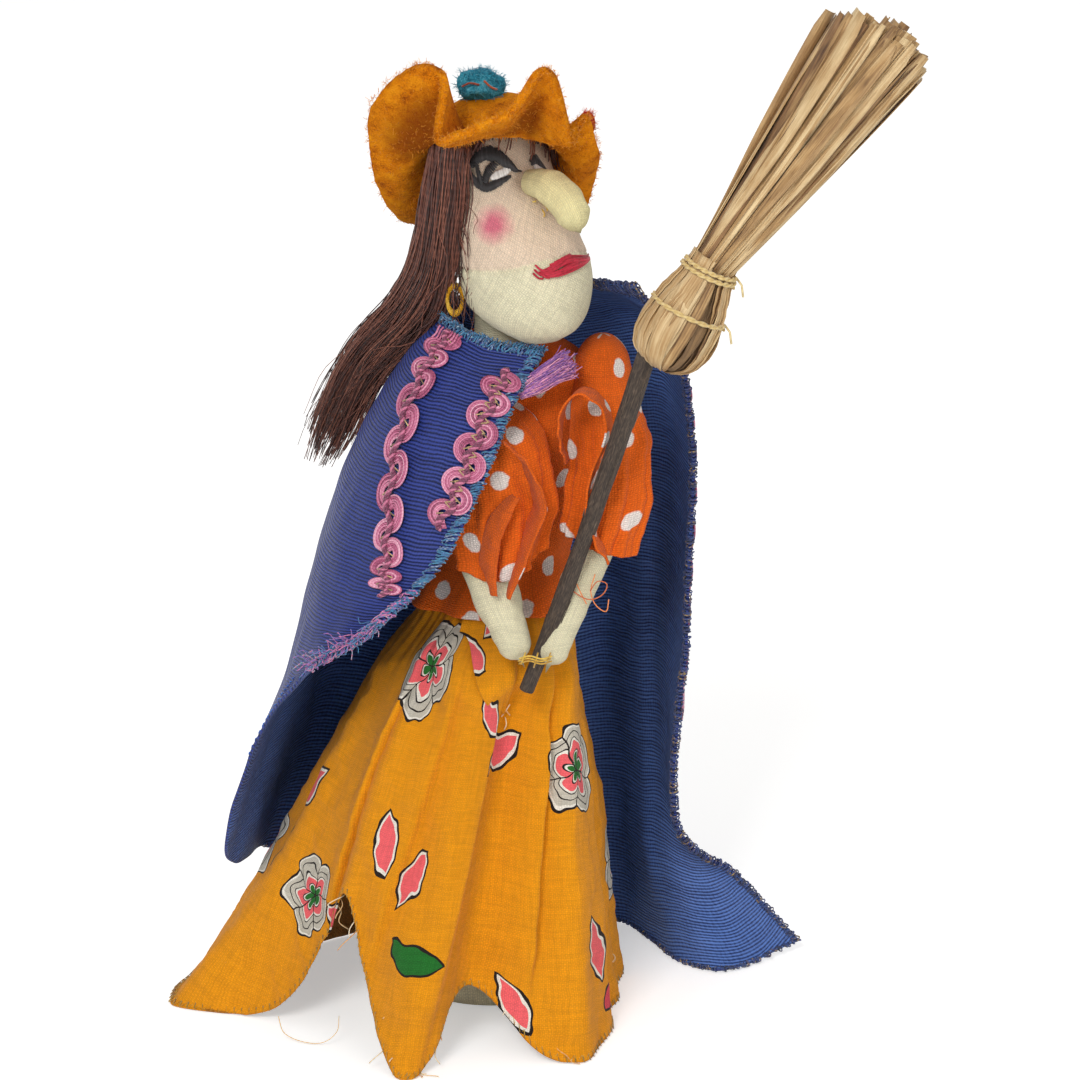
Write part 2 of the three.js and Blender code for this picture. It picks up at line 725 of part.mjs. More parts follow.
// Cape: a sheet through its columns, rows joined across them
const capeCurves = capeColumns.map((column) => routeOf(column));

function capePoint(u, v) {
  const row = new THREE.CatmullRomCurve3(capeCurves.map((column) => column.getPoint(v)));
  const point = row.getPoint(u);
  const behind = THREE.MathUtils.smoothstep(u, 0.3, 0.45) * (1 - THREE.MathUtils.smoothstep(u, 0.8, 0.9));
  const hanging = THREE.MathUtils.smoothstep(v, 0.1, 0.7);
  point.y += capeFoldDepth * behind * hanging * Math.cos(2 * Math.PI * capeFolds * u);
  return point;
}

function capeForm(thickness) {
  return clothSlab(capePoint, 28, 12, thickness);
}

function capeNormal(u, v) {
  const nudge = 2e-3;
  const alongU = capePoint(Math.min(1, u + nudge), v).sub(capePoint(Math.max(0, u - nudge), v));
  const alongV = capePoint(u, Math.min(1, v + nudge)).sub(capePoint(u, Math.max(0, v - nudge)));
  return alongU.cross(alongV).normalize();
}

// Scalloped gimp on the outer face of the cape, along places given as shares across and down it
function gimpForm(places, length) {
  const route = new THREE.CatmullRomCurve3(places.map(([across, down]) => new THREE.Vector3(across, down, 0)));
  const lift = capeFaille / 2 + gap + gimpRise + gimpThickness / 2;
  const on = (share) => {
    const place = route.getPoint(share);
    return capePoint(place.x, place.y);
  };
  const at = (u, v) => {
    const place = route.getPoint(v);
    const normal = capeNormal(place.x, place.y);
    const along = on(Math.min(1, v + 0.01)).sub(on(Math.max(0, v - 0.01))).normalize();
    const across = along.clone().cross(normal).normalize();
    const wave = Math.sin(Math.PI * v * length / gimpScallop);
    const left = -gimpWidth / 2 * (0.72 - 0.28 * wave);
    const right = gimpWidth / 2 * (0.72 + 0.28 * wave);
    const centre = on(v).addScaledVector(normal, lift);
    return centre.addScaledVector(across, THREE.MathUtils.lerp(left, right, u));
  };
  return clothSlab(at, 1, Math.round(length / 2.5), gimpThickness);
}

function tasselForm() {
  const size = (share) => {
    const radius = tasselRadius * smoothValue([0.5, 0.85, 1, 0.85], share);
    return [radius, 0.62 * radius];
  };
  return sweep(routeOf(tasselRoute), size, 10, 6, { tip: 0.8 });
}

// Broom, drawn along its own axis from the foot of the stick

function stickForm(grow, length) {
  const stick = new THREE.CylinderGeometry(stickRadius + grow, stickRadius + grow, length, stickSides);
  return stick.rotateX(Math.PI / 2).translate(0, 0, length / 2);
}

// The bulb is drawn from its bottom, beside the stick's axis; the brush leans over from its neck
const strawFrame = new THREE.Matrix4().makeTranslation(strawOffset, 0, strawFromStickFoot)
  .multiply(new THREE.Matrix4().makeRotationY(bulbSlant));

function strawRing(along, halfWidth, sides) {
  const ring = [];
  for (let side = 0; side < sides; side += 1) {
    const turn = 2 * Math.PI * side / sides;
    const reach = halfWidth * (1 + strawRib * Math.cos(side * Math.PI));
    ring.push(new THREE.Vector3(reach * Math.cos(turn), reach * bulbFlatness * Math.sin(turn), along));
  }
  return ring;
}

const bulbProfile = [0.72, 0.93, 1, 1, 0.96, 0.88, 0.77, 0.67, neckHalfWidth / bulbHalfWidth];
const bulbHalfWidthAt = (along) => bulbHalfWidth * smoothValue(bulbProfile, along / bulbLength);

function bulbForm() {
  const rings = [];
  for (let step = 0; step <= 10; step += 1) {
    const along = bulbLength * step / 10;
    rings.push(strawRing(along, bulbHalfWidthAt(along), 16));
  }
  return loft(rings, vector([0, 0, -0.4]), vector([0, 0, bulbLength]));
}

// The window in the bulb where the end of the stick shows between the straws
function bulbWindow() {
  const window = new THREE.SphereGeometry(1, 10, 8);
  return window.scale(...windowHalfSizes).rotateY(windowTurn).translate(...windowPlace);
}

// One flat straw as a closed four-sided strip from the binding to its tip
function strawStrip(root, tip, flatTurn, halfWidth) {
  const flat = new THREE.Vector3(Math.cos(flatTurn), Math.sin(flatTurn), 0);
  const thin = new THREE.Vector3(-flat.y, flat.x, 0);
  const ring = (middle, wide) => [[-1, -1], [1, -1], [1, 1], [-1, 1]].map(([across, deep]) => (
    middle.clone().addScaledVector(flat, across * wide).addScaledVector(thin, deep * wide * 0.4)
  ));
  const rings = [ring(root, halfWidth * 0.42), ring(tip, halfWidth)];
  return loft(rings, root.clone(), tip.clone());
}

function brushForm() {
  const binding = loft(
    [strawRing(-2, neckHalfWidth, 16), strawRing(3, neckHalfWidth, 16)],
    vector([0, 0, -2]),
    vector([0, 0, 3]),
  );
  const golden = Math.PI * (3 - Math.sqrt(5));
  const strips = [];
  for (let strand = 0; strand < strandCount; strand += 1) {
    const share = Math.sqrt((strand + 0.5) / strandCount);
    const turn = strand * golden;
    const spot = new THREE.Vector3(Math.cos(turn) * share, Math.sin(turn) * share * bulbFlatness, 0);
    const ragged = 1 - 0.14 * (0.5 + 0.5 * Math.sin(strand * 2.4)) - 0.05 * share;
    const root = spot.clone().multiplyScalar(neckHalfWidth * 0.92).setZ(2);
    const reach = THREE.MathUtils.lerp(neckHalfWidth, brushTipHalfWidth, ragged);
    const tip = spot.clone().multiplyScalar(reach * 0.95).setZ(brushLength * ragged);
    strips.push(strawStrip(root, tip, turn + Math.PI / 2, strandWidth / 2));
  }
  const leaning = joined([binding, ...strips]).rotateY(brushSlant).translate(0, 0, bulbLength + gap);
  const bulbSide = new THREE.BoxGeometry(60, 60, 40).translate(0, 0, bulbLength + gap - 20);
  return cutBy(leaning, bulbSide);
}

// Twine laid round the straw, a number of turns climbing by its own thickness
function twineForm(along, turns, halfWidthAt) {
  const points = [];
  const perTurn = 14;
  for (let step = 0; step <= turns * perTurn; step += 1) {
    const turn = 2 * Math.PI * step / perTurn;
    const height = along + (2 * tieRadius + gap) * step / perTurn;
    const straw = (1 + strawRib) * halfWidthAt(height);
    const slack = gap + tieRadius + 0.1;
    const across = (straw + slack) * Math.cos(turn);
    points.push(new THREE.Vector3(across, (straw * bulbFlatness + slack) * Math.sin(turn), height));
  }
  const route = new THREE.CatmullRomCurve3(points);
  const size = () => [tieRadius, tieRadius];
  return sweep(route, size, 5, turns * perTurn, { front: new THREE.Vector3(0, 0, 1) });
}

// Thread that sews the two hands together in front of the stick
function handStitchForm() {
  const [, handDepth, handHeight] = rightArmRoute.at(-1);
  const front = handDepth - rightArmRadii.at(-1) + 0.3 - stitchRadius;
  const places = [[7.4, 0.4, 0.9], [10, 0, 1.8], [13.2, 0, 1], [15.8, 0.4, 1.6]];
  const route = routeOf(places.map(([x, back, up]) => [x, front + back, handHeight + up]));
  return sweep(route, () => [stitchRadius, stitchRadius], 6, 8, { front: new THREE.Vector3(0, 0, 1) });
}

// Assembly

function named(name, geometry, material) {
  const mesh = new THREE.Mesh(geometry, material);
  mesh.name = name;
  return mesh;
}

const doll = new THREE.Group();

const broomPlace = new THREE.Matrix4().makeTranslation(stickFoot.x, stickFoot.y, stickFoot.z)
  .multiply(new THREE.Matrix4().makeRotationY(stickLean));
const neckPlace = new THREE.Matrix4().makeTranslation(neck.x, neck.y, neck.z);
const stickBore = stickForm(gap, stickLength + 40).translate(0, 0, -20).applyMatrix4(broomPlace);
const headGrown = headForm(gap);
const noseCutter = noseForm(gap);
const dowelGrown = dowelForm(gap);

const sleevesGrown = [rightSleeve, leftSleeve].map((sleeve) => sleeveForm(sleeve, printedCotton + 2.4 * gap));
const hemsGrown = sleevesGrown.map((sleeve) => sleeve.clone().translate(0, 0, -2 * gap));
const armsGrown = [armForm(rightArmRoute, rightArmRadii, gap), armForm(leftArmRoute, leftArmRadii, gap)];
const shoulderLine = new THREE.Matrix4().makeTranslation(0, shoulderDepth, shoulderHeight);
const lifted = (geometry, angle) => {
  const lift = shoulderLine.clone().multiply(new THREE.Matrix4().makeRotationX(-angle));
  return geometry.clone().applyMatrix4(lift.multiply(shoulderLine.clone().invert()));
};
const liftedSleeves = sleevesGrown.flatMap((sleeve) => [0.5, 1].map((share) => lifted(sleeve, share * armLiftLimit)));
const shoulderCutters = [...sleevesGrown, ...armsGrown, ...liftedSleeves];
const turnedHeads = [-1, -0.5, 0, 0.5, 1].map((share) => headGrown.clone().rotateZ(share * headTurnLimit));
const neckCutters = [...turnedHeads, dowelGrown].map((cutter) => cutter.clone().applyMatrix4(neckPlace));
doll.add(named('stuffed_body', cutBy(bodyForm(), ...shoulderCutters, ...neckCutters), finish(ecruCalico)));
doll.add(named('neck_dowel', dowelForm(0).applyMatrix4(neckPlace), finish(0xc8a878, 0.7)));
doll.add(named('blouse', cutBy(blouseForm(), ...shoulderCutters), finish(orangeCotton)));
doll.add(named('skirt', standFlat(skirtForm()), finish(mustardCotton)));

const head = new THREE.Group();
head.position.copy(neck);
const hatGrown = hatForm(hatFelt + 2 * gap);
const fringe = cutBy(fringeForm(), hatGrown, headGrown, hairLockForm(gap));
head.add(named('head', cutBy(headForm(0), dowelGrown, hatGrown), finish(blushCalico)));
head.add(named('nose', cutBy(noseForm(0), headGrown), finish(0xe6dba6)));
head.add(named('mouth', stitchPad(mouthPad), finish(0xb8102e)));
head.add(named('right_eye', cutBy(stitchPad(rightEyePad), hairLockForm(gap)), finish(0x1a1718)));
head.add(named('left_eye', cutBy(stitchPad(leftEyePad), noseCutter), finish(0x1a1718)));
head.add(named('hair_fringe', fringe, finish(0x4a2a26)));
const capeGrown = capeForm(capeFaille + 2 * gap).translate(-neck.x, -neck.y, -neck.z);
head.add(named('hair_lock', cutBy(hairLockForm(0), headGrown, hatGrown, capeGrown), finish(0x4a2a26)));
head.add(named('ear_hoop', cutBy(earHoopForm(), headGrown), finish(mustardCotton)));
head.add(named('felt_hat', hatForm(hatFelt), finish(0xe08a10)));
head.add(named('hat_puff', cutBy(puffForm(), hatGrown), finish(0x2f7f96)));
head.add(named('hat_scrap', cutBy(scrapForm(), hatForm(hatFelt + 4 * gap)), finish(0xc2331f)));
doll.add(head);

const arms = new THREE.Group();
const rightArm = cutBy(armForm(rightArmRoute, rightArmRadii, 0), stickBore, sleevesGrown[0], hemsGrown[0]);
const leftArm = cutBy(armForm(leftArmRoute, leftArmRadii, 0), stickBore, sleevesGrown[1], hemsGrown[1]);
arms.add(named('right_arm', rightArm, finish(ecruCalico)));
arms.add(named('left_arm', leftArm, finish(ecruCalico)));
arms.add(named('right_sleeve', sleeveForm(rightSleeve, printedCotton), finish(orangeCotton)));
arms.add(named('left_sleeve', sleeveForm(leftSleeve, printedCotton), finish(orangeCotton)));
arms.add(named('hand_stitches', handStitchForm(), finish(0xd8b23a)));
doll.add(arms);

doll.add(named('cape', standFlat(capeForm(capeFaille)), finish(blueFaille, 0.7)));
const outerGimp = gimpForm(outerGimpPlaces, outerGimpLength);
const frontGimp = gimpForm(frontGimpPlaces, frontGimpLength);
const leftGimp = gimpForm(leftGimpPlaces, leftGimpLength);
doll.add(named('cape_gimp_outer', outerGimp, finish(pinkGimp, 0.6)));
doll.add(named('cape_gimp_front', frontGimp, finish(pinkGimp, 0.6)));
doll.add(named('cape_gimp_left', leftGimp, finish(pinkGimp, 0.6)));
const capeCover = capeForm(capeFaille + 2 * gap);
const tassel = cutBy(tasselForm(), capeCover, capeCover.clone().translate(gap, 0, 0), frontGimp);
doll.add(named('cape_tassel', tassel, finish(0xa65a9a)));

const broom = new THREE.Group();
broom.position.copy(stickFoot);
broom.rotation.y = stickLean;
const strawHead = new THREE.Group();
strawHead.position.set(strawOffset, 0, strawFromStickFoot);
strawHead.rotation.y = bulbSlant;
const strawBore = stickForm(gap, stickLength + gap).applyMatrix4(strawFrame.clone().invert());
broom.add(named('broom_stick', stickForm(0, stickLength), finish(0x4a3f38)));
strawHead.add(named('broom_bulb', cutBy(bulbForm(), strawBore, bulbWindow()), finish(strawTan)));
strawHead.add(named('broom_brush', brushForm(), finish(strawTan)));
strawHead.add(named('broom_lower_tie', twineForm(15.5, 1, bulbHalfWidthAt), finish(0xd9c08a)));
strawHead.add(named('broom_upper_tie', twineForm(bulbLength - 3.2, 2, bulbHalfWidthAt), finish(0xd9c08a)));
broom.add(strawHead);
doll.add(broom);

export default doll;
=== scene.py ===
# A stuffed cloth witch doll in a ribbed cape, a ruffled felt hat and printed cotton, with a straw broom.
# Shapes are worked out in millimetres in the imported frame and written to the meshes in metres.
import math
import random

import bmesh
import bpy
import numpy as np
from mathutils import Matrix, Vector, noise


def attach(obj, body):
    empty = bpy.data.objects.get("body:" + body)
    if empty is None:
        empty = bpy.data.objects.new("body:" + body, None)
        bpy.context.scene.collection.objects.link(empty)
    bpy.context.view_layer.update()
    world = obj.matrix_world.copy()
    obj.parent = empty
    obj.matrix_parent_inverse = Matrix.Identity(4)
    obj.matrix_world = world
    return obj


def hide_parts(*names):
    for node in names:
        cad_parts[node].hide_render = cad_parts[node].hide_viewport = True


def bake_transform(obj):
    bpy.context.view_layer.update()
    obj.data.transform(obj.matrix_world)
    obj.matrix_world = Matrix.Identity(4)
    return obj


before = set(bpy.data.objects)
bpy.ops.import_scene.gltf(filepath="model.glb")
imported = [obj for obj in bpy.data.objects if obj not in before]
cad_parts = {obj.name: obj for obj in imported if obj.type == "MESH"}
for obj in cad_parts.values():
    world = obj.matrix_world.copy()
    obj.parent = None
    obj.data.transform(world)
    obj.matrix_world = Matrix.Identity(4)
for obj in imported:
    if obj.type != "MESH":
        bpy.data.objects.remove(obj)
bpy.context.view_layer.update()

mm = 0.001
scene = bpy.context.scene
scene.view_settings.view_transform = "Standard"


# Curves and tables

def splineAt(points, shares):  # centripetal spline; points may hold one set of controls for every share
    p = np.asarray(points, float)
    ends = np.concatenate([2 * p[:1] - p[1:2], p, 2 * p[-1:] - p[-2:-1]])
    place = np.clip(np.atleast_1d(shares), 0, 1) * (len(p) - 1)
    index = np.minimum(place.astype(int), len(p) - 2)
    w = (place - index)[:, None]
    if p.ndim == 3:
        own = np.arange(len(place))
        a, b, c, d = (ends[index + k, own] for k in range(4))
    else:
        a, b, c, d = (ends[index + k] for k in range(4))
    stepOf = lambda m, n: np.sqrt(np.maximum(1e-4, np.linalg.norm(n - m, axis=1, keepdims=True)))
    s0, s1, s2 = stepOf(a, b), stepOf(b, c), stepOf(c, d)
    leave = ((b - a) / s0 - (c - a) / (s0 + s1) + (c - b) / s1) * s1
    arrive = ((c - b) / s1 - (d - b) / (s1 + s2) + (d - c) / s2) * s1
    bent = b + leave * w + (3 * (c - b) - 2 * leave - arrive) * w ** 2
    return bent + (2 * (b - c) + leave + arrive) * w ** 3


def runAlong(points):  # length from the first point to each one
    return np.concatenate([[0], np.cumsum(np.linalg.norm(np.diff(points, axis=0), axis=1))])


def evenSpline(points, count):  # the same spline at evenly spaced lengths
    fine = splineAt(points, np.linspace(0, 1, 400))
    run = runAlong(fine)
    wanted = np.linspace(0, run[-1], count)
    return np.stack([np.interp(wanted, run, fine[:, k]) for k in range(3)], axis=1)


def stationAt(table, at):
    table, at = np.asarray(table, float), np.atleast_1d(at).astype(float)
    index = np.clip(np.searchsorted(table[:, 0], at, side="right") - 1, 0, len(table) - 2)
    low, high = table[index], table[index + 1]
    before, after = table[np.maximum(index - 1, 0)], table[np.minimum(index + 2, len(table) - 1)]
    span = (high[:, 0] - low[:, 0])[:, None]
    s = np.clip((at[:, None] - low[:, :1]) / span, 0, 1)
    leave = span * (high - before) / np.maximum(1e-6, high[:, :1] - before[:, :1])
    arrive = span * (after - low) / np.maximum(1e-6, after[:, :1] - low[:, :1])
    return ((2 * s ** 3 - 3 * s ** 2 + 1) * low + (s ** 3 - 2 * s ** 2 + s) * leave
            + (3 * s ** 2 - 2 * s ** 3) * high + (s ** 3 - s ** 2) * arrive)


def edgeAt(table, bearing):  # the further columns of an edge's table at bearings in degrees
    table = np.asarray(table, float)
    lap = np.eye(1, table.shape[1])[0] * 360
    laps = np.concatenate([table - lap, table, table + lap])
    turned = table[0, 0] + np.mod(np.atleast_1d(bearing) - table[0, 0], 360)
    return stationAt(laps, turned)[:, 1:].T


def stationBearing(table, share):  # bearing at a share of the way round, the table's stations evenly spaced
    bearings = [row[0] for row in table] + [table[0][0] + 360]
    return np.interp(np.mod(share, 1) * len(table), np.arange(len(table) + 1), bearings)


def smoothValue(samples, share):
    samples = np.asarray(samples, float)
    place = np.clip(share, 0, 0.99999) * (len(samples) - 1)
    index = place.astype(int)
    w = place - index
    return samples[index] + (samples[index + 1] - samples[index]) * w * w * (3 - 2 * w)


def smoothstep(x, low, high):
    t = np.clip((x - low) / (high - low), 0, 1)
    return t * t * (3 - 2 * t)


def unit(v):
    return v / np.maximum(1e-9, np.linalg.norm(v, axis=-1, keepdims=True))


def outward(turn):  # level directions at angles in radians
    return np.stack([np.cos(turn), np.sin(turn), np.zeros_like(turn)], axis=-1)


def ripple(points, size, shift=0.0):
    # smooth noise from -1 to 1 at points in mm, size the length of its waves
    return np.array([noise.noise(Vector((p / size + shift).tolist())) for p in points])


# Mesh builders

def newObject(name, bm, materials, body):
    mesh = bpy.data.meshes.new(name)
    bm.to_mesh(mesh)
    bm.free()
    return placed(name, mesh, materials, body)


def placed(name, mesh, materials, body):
    obj = bpy.data.objects.new(name, mesh)
    scene.collection.objects.link(obj)
    mesh.polygons.foreach_set("use_smooth", [True] * len(mesh.polygons))
    for material in materials:
        mesh.materials.append(material)
    if body:
        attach(obj, body)
    return obj


def standFor(node):
    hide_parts(node)


def surface(name, points, uv, materials, body, closed=False, thickness=0, backMaterial=False, colours=None):
    # points are rows x columns x 3 in mm, uv rows x columns x 2 in mm, colours a share for each point
    rows, columns = points.shape[:2]
    bm = bmesh.new()
    bmesh.ops.create_grid(bm, x_segments=columns - 1, y_segments=rows - 1, size=1)
    places, mapped = points.reshape(-1, 3) * mm, uv.reshape(-1, 2)
    layer = bm.loops.layers.uv.new("UVMap")
    shade = bm.verts.layers.float.new("shade") if colours is not None else None
    bm.verts.ensure_lookup_table()
    for vert in bm.verts:
        vert.co = places[vert.index]
        if shade is not None:
            vert[shade] = float(colours.reshape(-1)[vert.index])
    for face in bm.faces:
        for loop in face.loops:
            loop[layer].uv = mapped[loop.vert.index]
    if closed:
        bmesh.ops.remove_doubles(bm, verts=bm.verts, dist=1e-7)
        if not thickness:
            bmesh.ops.recalc_face_normals(bm, faces=bm.faces)
    obj = newObject(name, bm, materials, body)
    if thickness:
        solidify = obj.modifiers.new("Cloth thickness", "SOLIDIFY")
        solidify.thickness = thickness * mm
        solidify.offset = 0
        solidify.use_even_offset = False
        if backMaterial:
            solidify.material_offset = 1
    return obj


def sweptGrid(middles, halfWidths, halfDepths, sides, front, roundTo=0.0):
    # rows of points round a route, with both ends drawn in to a point
    along = unit(np.gradient(middles, axis=0))
    across = unit(np.cross(along, front))
    deep = unit(np.cross(across, along))
    turn = np.linspace(0, 2 * np.pi, sides + 1)
    rows = (middles[:, None] + across[:, None] * (halfWidths[:, None] * np.cos(turn))[..., None]
            + deep[:, None] * (halfDepths[:, None] * np.sin(turn))[..., None])
    start = np.repeat(middles[:1, None] - along[:1, None] * roundTo, sides + 1, axis=1)
    end = np.repeat(middles[-1:, None] + along[-1:, None] * roundTo, sides + 1, axis=1)
    return np.concatenate([start, rows, end])


def swelled(grid, lumps):  # a swept grid pushed out by lumps in mm, its two ends left alone
    middle = grid[:, :-1].mean(axis=1)[:, None]
    grid[1:-1] += unit(grid - middle)[1:-1] * lumps[1:-1, :, None]
    grid[:, -1] = grid[:, 0]
    return grid


def sheetGrid(columns, rows):  # shares across and down a sheet
    return np.meshgrid(np.linspace(0, 1, columns), np.linspace(0, 1, rows))


def clothUv(points):  # lengths along the rows and down the columns, in mm
    across = np.linalg.norm(np.diff(points, axis=1), axis=2)
    down = np.linalg.norm(np.diff(points, axis=0), axis=2)
    width = across.mean(axis=0)
    u = np.concatenate([[0], np.cumsum(width)])
    v = np.concatenate([np.zeros((1, points.shape[1])), np.cumsum(down, axis=0)])
    return np.stack([np.broadcast_to(u, v.shape), v], axis=2)


def threads(name, routes, radii, material, body, tapers=None, sides=1, seed=1):
    # many threads or fibres as one mesh; radii in mm are one number or a list
    radii = np.broadcast_to(radii, len(routes))
    curve = bpy.data.curves.new(name, "CURVE")
    curve.dimensions = "3D"
    curve.bevel_mode = "ROUND"
    curve.bevel_depth = mm
    curve.bevel_resolution = sides - 1
    for k, route in enumerate(routes):
        spline = curve.splines.new("POLY")
        spline.points.add(len(route) - 1)
        places = np.column_stack([np.asarray(route) * mm, np.ones(len(route))])
        spline.points.foreach_set("co", places.ravel())
        taper = np.ones(len(route)) if tapers is None else tapers[k]
        spline.points.foreach_set("radius", radii[k] * taper)
    holder = bpy.data.objects.new(name + "_curve", curve)
    scene.collection.objects.link(holder)
    mesh = bpy.data.meshes.new_from_object(holder.evaluated_get(bpy.context.evaluated_depsgraph_get()))
    bpy.data.objects.remove(holder)
    bpy.data.curves.remove(curve)
    counts = [len(route) for route in routes]
    ring = len(mesh.vertices) // sum(counts)
    picks = random.Random(seed)
    shade = mesh.attributes.new("shade", "FLOAT", "POINT")
    along = mesh.attributes.new("along", "FLOAT", "POINT")
    shades, lengths = [], []
    for route, count in zip(routes, counts):
        own = picks.random()
        shades += [own] * (count * ring)
        lengths += list(np.repeat(runAlong(np.asarray(route)), ring))
    shade.data.foreach_set("value", shades)
    along.data.foreach_set("value", lengths)
    bm = bmesh.new()
    bm.from_mesh(mesh)
    bpy.data.meshes.remove(mesh)
    bmesh.ops.holes_fill(bm, edges=[edge for edge in bm.edges if edge.is_boundary])
    return newObject(name, bm, [material], body)


# Shader helpers

def colour(code):
    parts = [int(code[k:k + 2], 16) / 255 for k in (1, 3, 5)]
    return [*(c / 12.92 if c <= 0.04045 else ((c + 0.055) / 1.055) ** 2.4 for c in parts), 1]


def addNode(tree, kind, *values, out=None, stops=(), **settings):
    # plain values fill the live inputs in turn, named ones an input or a setting; one output comes back
    made = tree.nodes.new("ShaderNode" + kind)
    named = []
    for key, value in settings.items():
        if key in made.inputs:
            named.append((made.inputs[key], value))
        else:
            setattr(made, key, value)
    live = [socket for socket in made.inputs if socket.enabled]
    for socket, value in list(zip(live, values)) + named:
        if isinstance(value, bpy.types.NodeSocket):
            tree.links.new(value, socket)
        else:
            socket.default_value = colour(value) if isinstance(value, str) else value
    for k, (place, tint) in enumerate(stops):
        elements = made.color_ramp.elements
        stop = elements.new(place) if 0 < k < len(stops) - 1 else elements[-1 if k else 0]
        stop.position, stop.color = place, colour(tint) if tint else (0, 0, 0, 0)
    return made.outputs[out] if out else next(socket for socket in made.outputs if socket.enabled)


def newMaterial(name, **shader):
    material = bpy.data.materials.new(name)
    material.use_nodes = True
    principled = material.node_tree.nodes["Principled BSDF"]
    for key, value in shader.items():
        principled.inputs[key.replace("_", " ")].default_value = value
    return material, material.node_tree


def linkSurface(tree, tint, height, depth, strength=1.0):  # the colour and the relief, its depth in mm
    principled = tree.nodes["Principled BSDF"]
    tree.links.new(tint, principled.inputs["Base Color"])
    bump = addNode(tree, "Bump", Height=height, Strength=strength, Distance=depth * mm)
    tree.links.new(bump, principled.inputs["Normal"])


def patterned(tree, vector, stretch, scale, detail, **noise):  # noise on a stretched copy of a vector
    stretched = addNode(tree, "Mapping", Vector=vector, Scale=stretch)
    return addNode(tree, "TexNoise", Vector=stretched, Scale=scale, Detail=detail, **noise)


def drifting(tree, vector, scale, detail, size):  # a vector pushed about by noise of some size
    wander = addNode(tree, "TexNoise", Vector=vector, Scale=scale, Detail=detail, out="Color")
    shift = addNode(tree, "VectorMath", wander, size, operation="SCALE")
    return addNode(tree, "VectorMath", vector, shift, operation="ADD")


def threadPattern(tree, vector, spacing):  # height of a plain weave from 0 to about 1, threads spaced in mm
    split = addNode(tree, "SeparateXYZ", vector).node
    waves = []
    for axis in (0, 1):
        turned = addNode(tree, "Math", split.outputs[axis], math.pi / spacing, operation="MULTIPLY")
        waves.append(addNode(tree, "Math", turned, operation="SINE"))
    crossed = addNode(tree, "Math", *waves, operation="MULTIPLY")
    grid = addNode(tree, "Math", crossed, operation="ABSOLUTE")
    return addNode(tree, "Math", crossed, 0.4, grid, operation="MULTIPLY_ADD")


def clothMaterial(name, base, spacing, depth=0.12, paintedHollowShade=0.35, turn=0.0):
    # woven cotton gives the eye a grid of threads in colour and relief, painted shade in the gaps between the
    # threads and a slight painted highlight where they cross, slubs, and faint mottling
    material, tree = newMaterial(name, Roughness=0.9, Sheen_Weight=0.06, Sheen_Roughness=0.5,
                                 Specular_IOR_Level=0.25)
    uv = addNode(tree, "UVMap", uv_map="UVMap")
    moved = drifting(tree, uv, 0.35, 2, 0.9)
    turned = addNode(tree, "Mapping", Vector=moved, Rotation=(0, 0, turn))
    height = threadPattern(tree, turned, spacing)
    slub = patterned(tree, turned, (0.12, 1.6, 1), 1.2, 3)
    line = patterned(tree, turned, (1.6, 0.12, 1), 1.2, 3)
    uneven = addNode(tree, "Math", slub, line, operation="ADD")
    shade = addNode(tree, "MapRange", uneven, 0.75, 1.25, 0.88, 1.1)
    # painted shade: the colour darkens by the given share where the weave is low, and brightens slightly on
    # the high crossings as a painted highlight
    paintedWeaveShade = addNode(tree, "MapRange", height, 0.0, 0.9, 1 - paintedHollowShade, 1.06)
    both = addNode(tree, "Math", shade, paintedWeaveShade, operation="MULTIPLY")
    flat = base(tree, uv) if callable(base) else base
    grey = addNode(tree, "CombineColor", both, both, both)
    tinted = addNode(tree, "Mix", 1.0, flat, grey, data_type="RGBA", blend_type="MULTIPLY")
    rough = addNode(tree, "TexNoise", Vector=uv, Scale=6, Detail=2)
    lift = addNode(tree, "Math", rough, 0.25, height, operation="MULTIPLY_ADD")
    linkSurface(tree, tinted, lift, depth)
    return material


def threadMaterial(name, colours, roughness=0.55, sheen=0.3, twist=1.2):
    # spun thread gives the eye a twist along each one, and each one has its own shade out of the list
    material, tree = newMaterial(name, Roughness=roughness, Sheen_Weight=sheen)
    shade = addNode(tree, "Attribute", attribute_name="shade", out="Fac")
    along = addNode(tree, "Attribute", attribute_name="along", out="Fac")
    place = addNode(tree, "TexCoord", out="Object")
    fuzz = addNode(tree, "TexNoise", Vector=place, Scale=900, Detail=2)
    turned = addNode(tree, "Math", along, 2 * math.pi / twist, operation="MULTIPLY")
    stripe = addNode(tree, "Math", turned, operation="SINE")
    striped = addNode(tree, "Math", stripe, 0.1, shade, operation="MULTIPLY_ADD")
    uneven = addNode(tree, "Math", fuzz, 0.4, striped, operation="MULTIPLY_ADD")
    share = addNode(tree, "MapRange", uneven, 0.1, 1.3)
    last = len(colours) - 1
    ramp = addNode(tree, "ValToRGB", share, stops=[(k / last, code) for k, code in enumerate(colours)])
    linkSurface(tree, ramp, uneven, 0.05, 0.7)
    return material


# Camera, floor and light

studio = {
    "target": (13, 0, 126.2), "distance": 1400, "elevation": 20, "lens": 179.49,
    "floorColour": "#F2F1EF", "floorGlow": 0.42, "world": 0.5, "key": 9.2, "fill": 3.4, "rim": 2.0,
}


def seenDirectly(tree):  # 1 for rays from the camera, a mirror or glass, 0 for light
    path = addNode(tree, "LightPath").node.outputs
    seen = addNode(tree, "Math", path["Is Camera Ray"], path["Is Glossy Ray"], operation="MAXIMUM")
    return addNode(tree, "Math", seen, path["Is Transmission Ray"], operation="MAXIMUM")


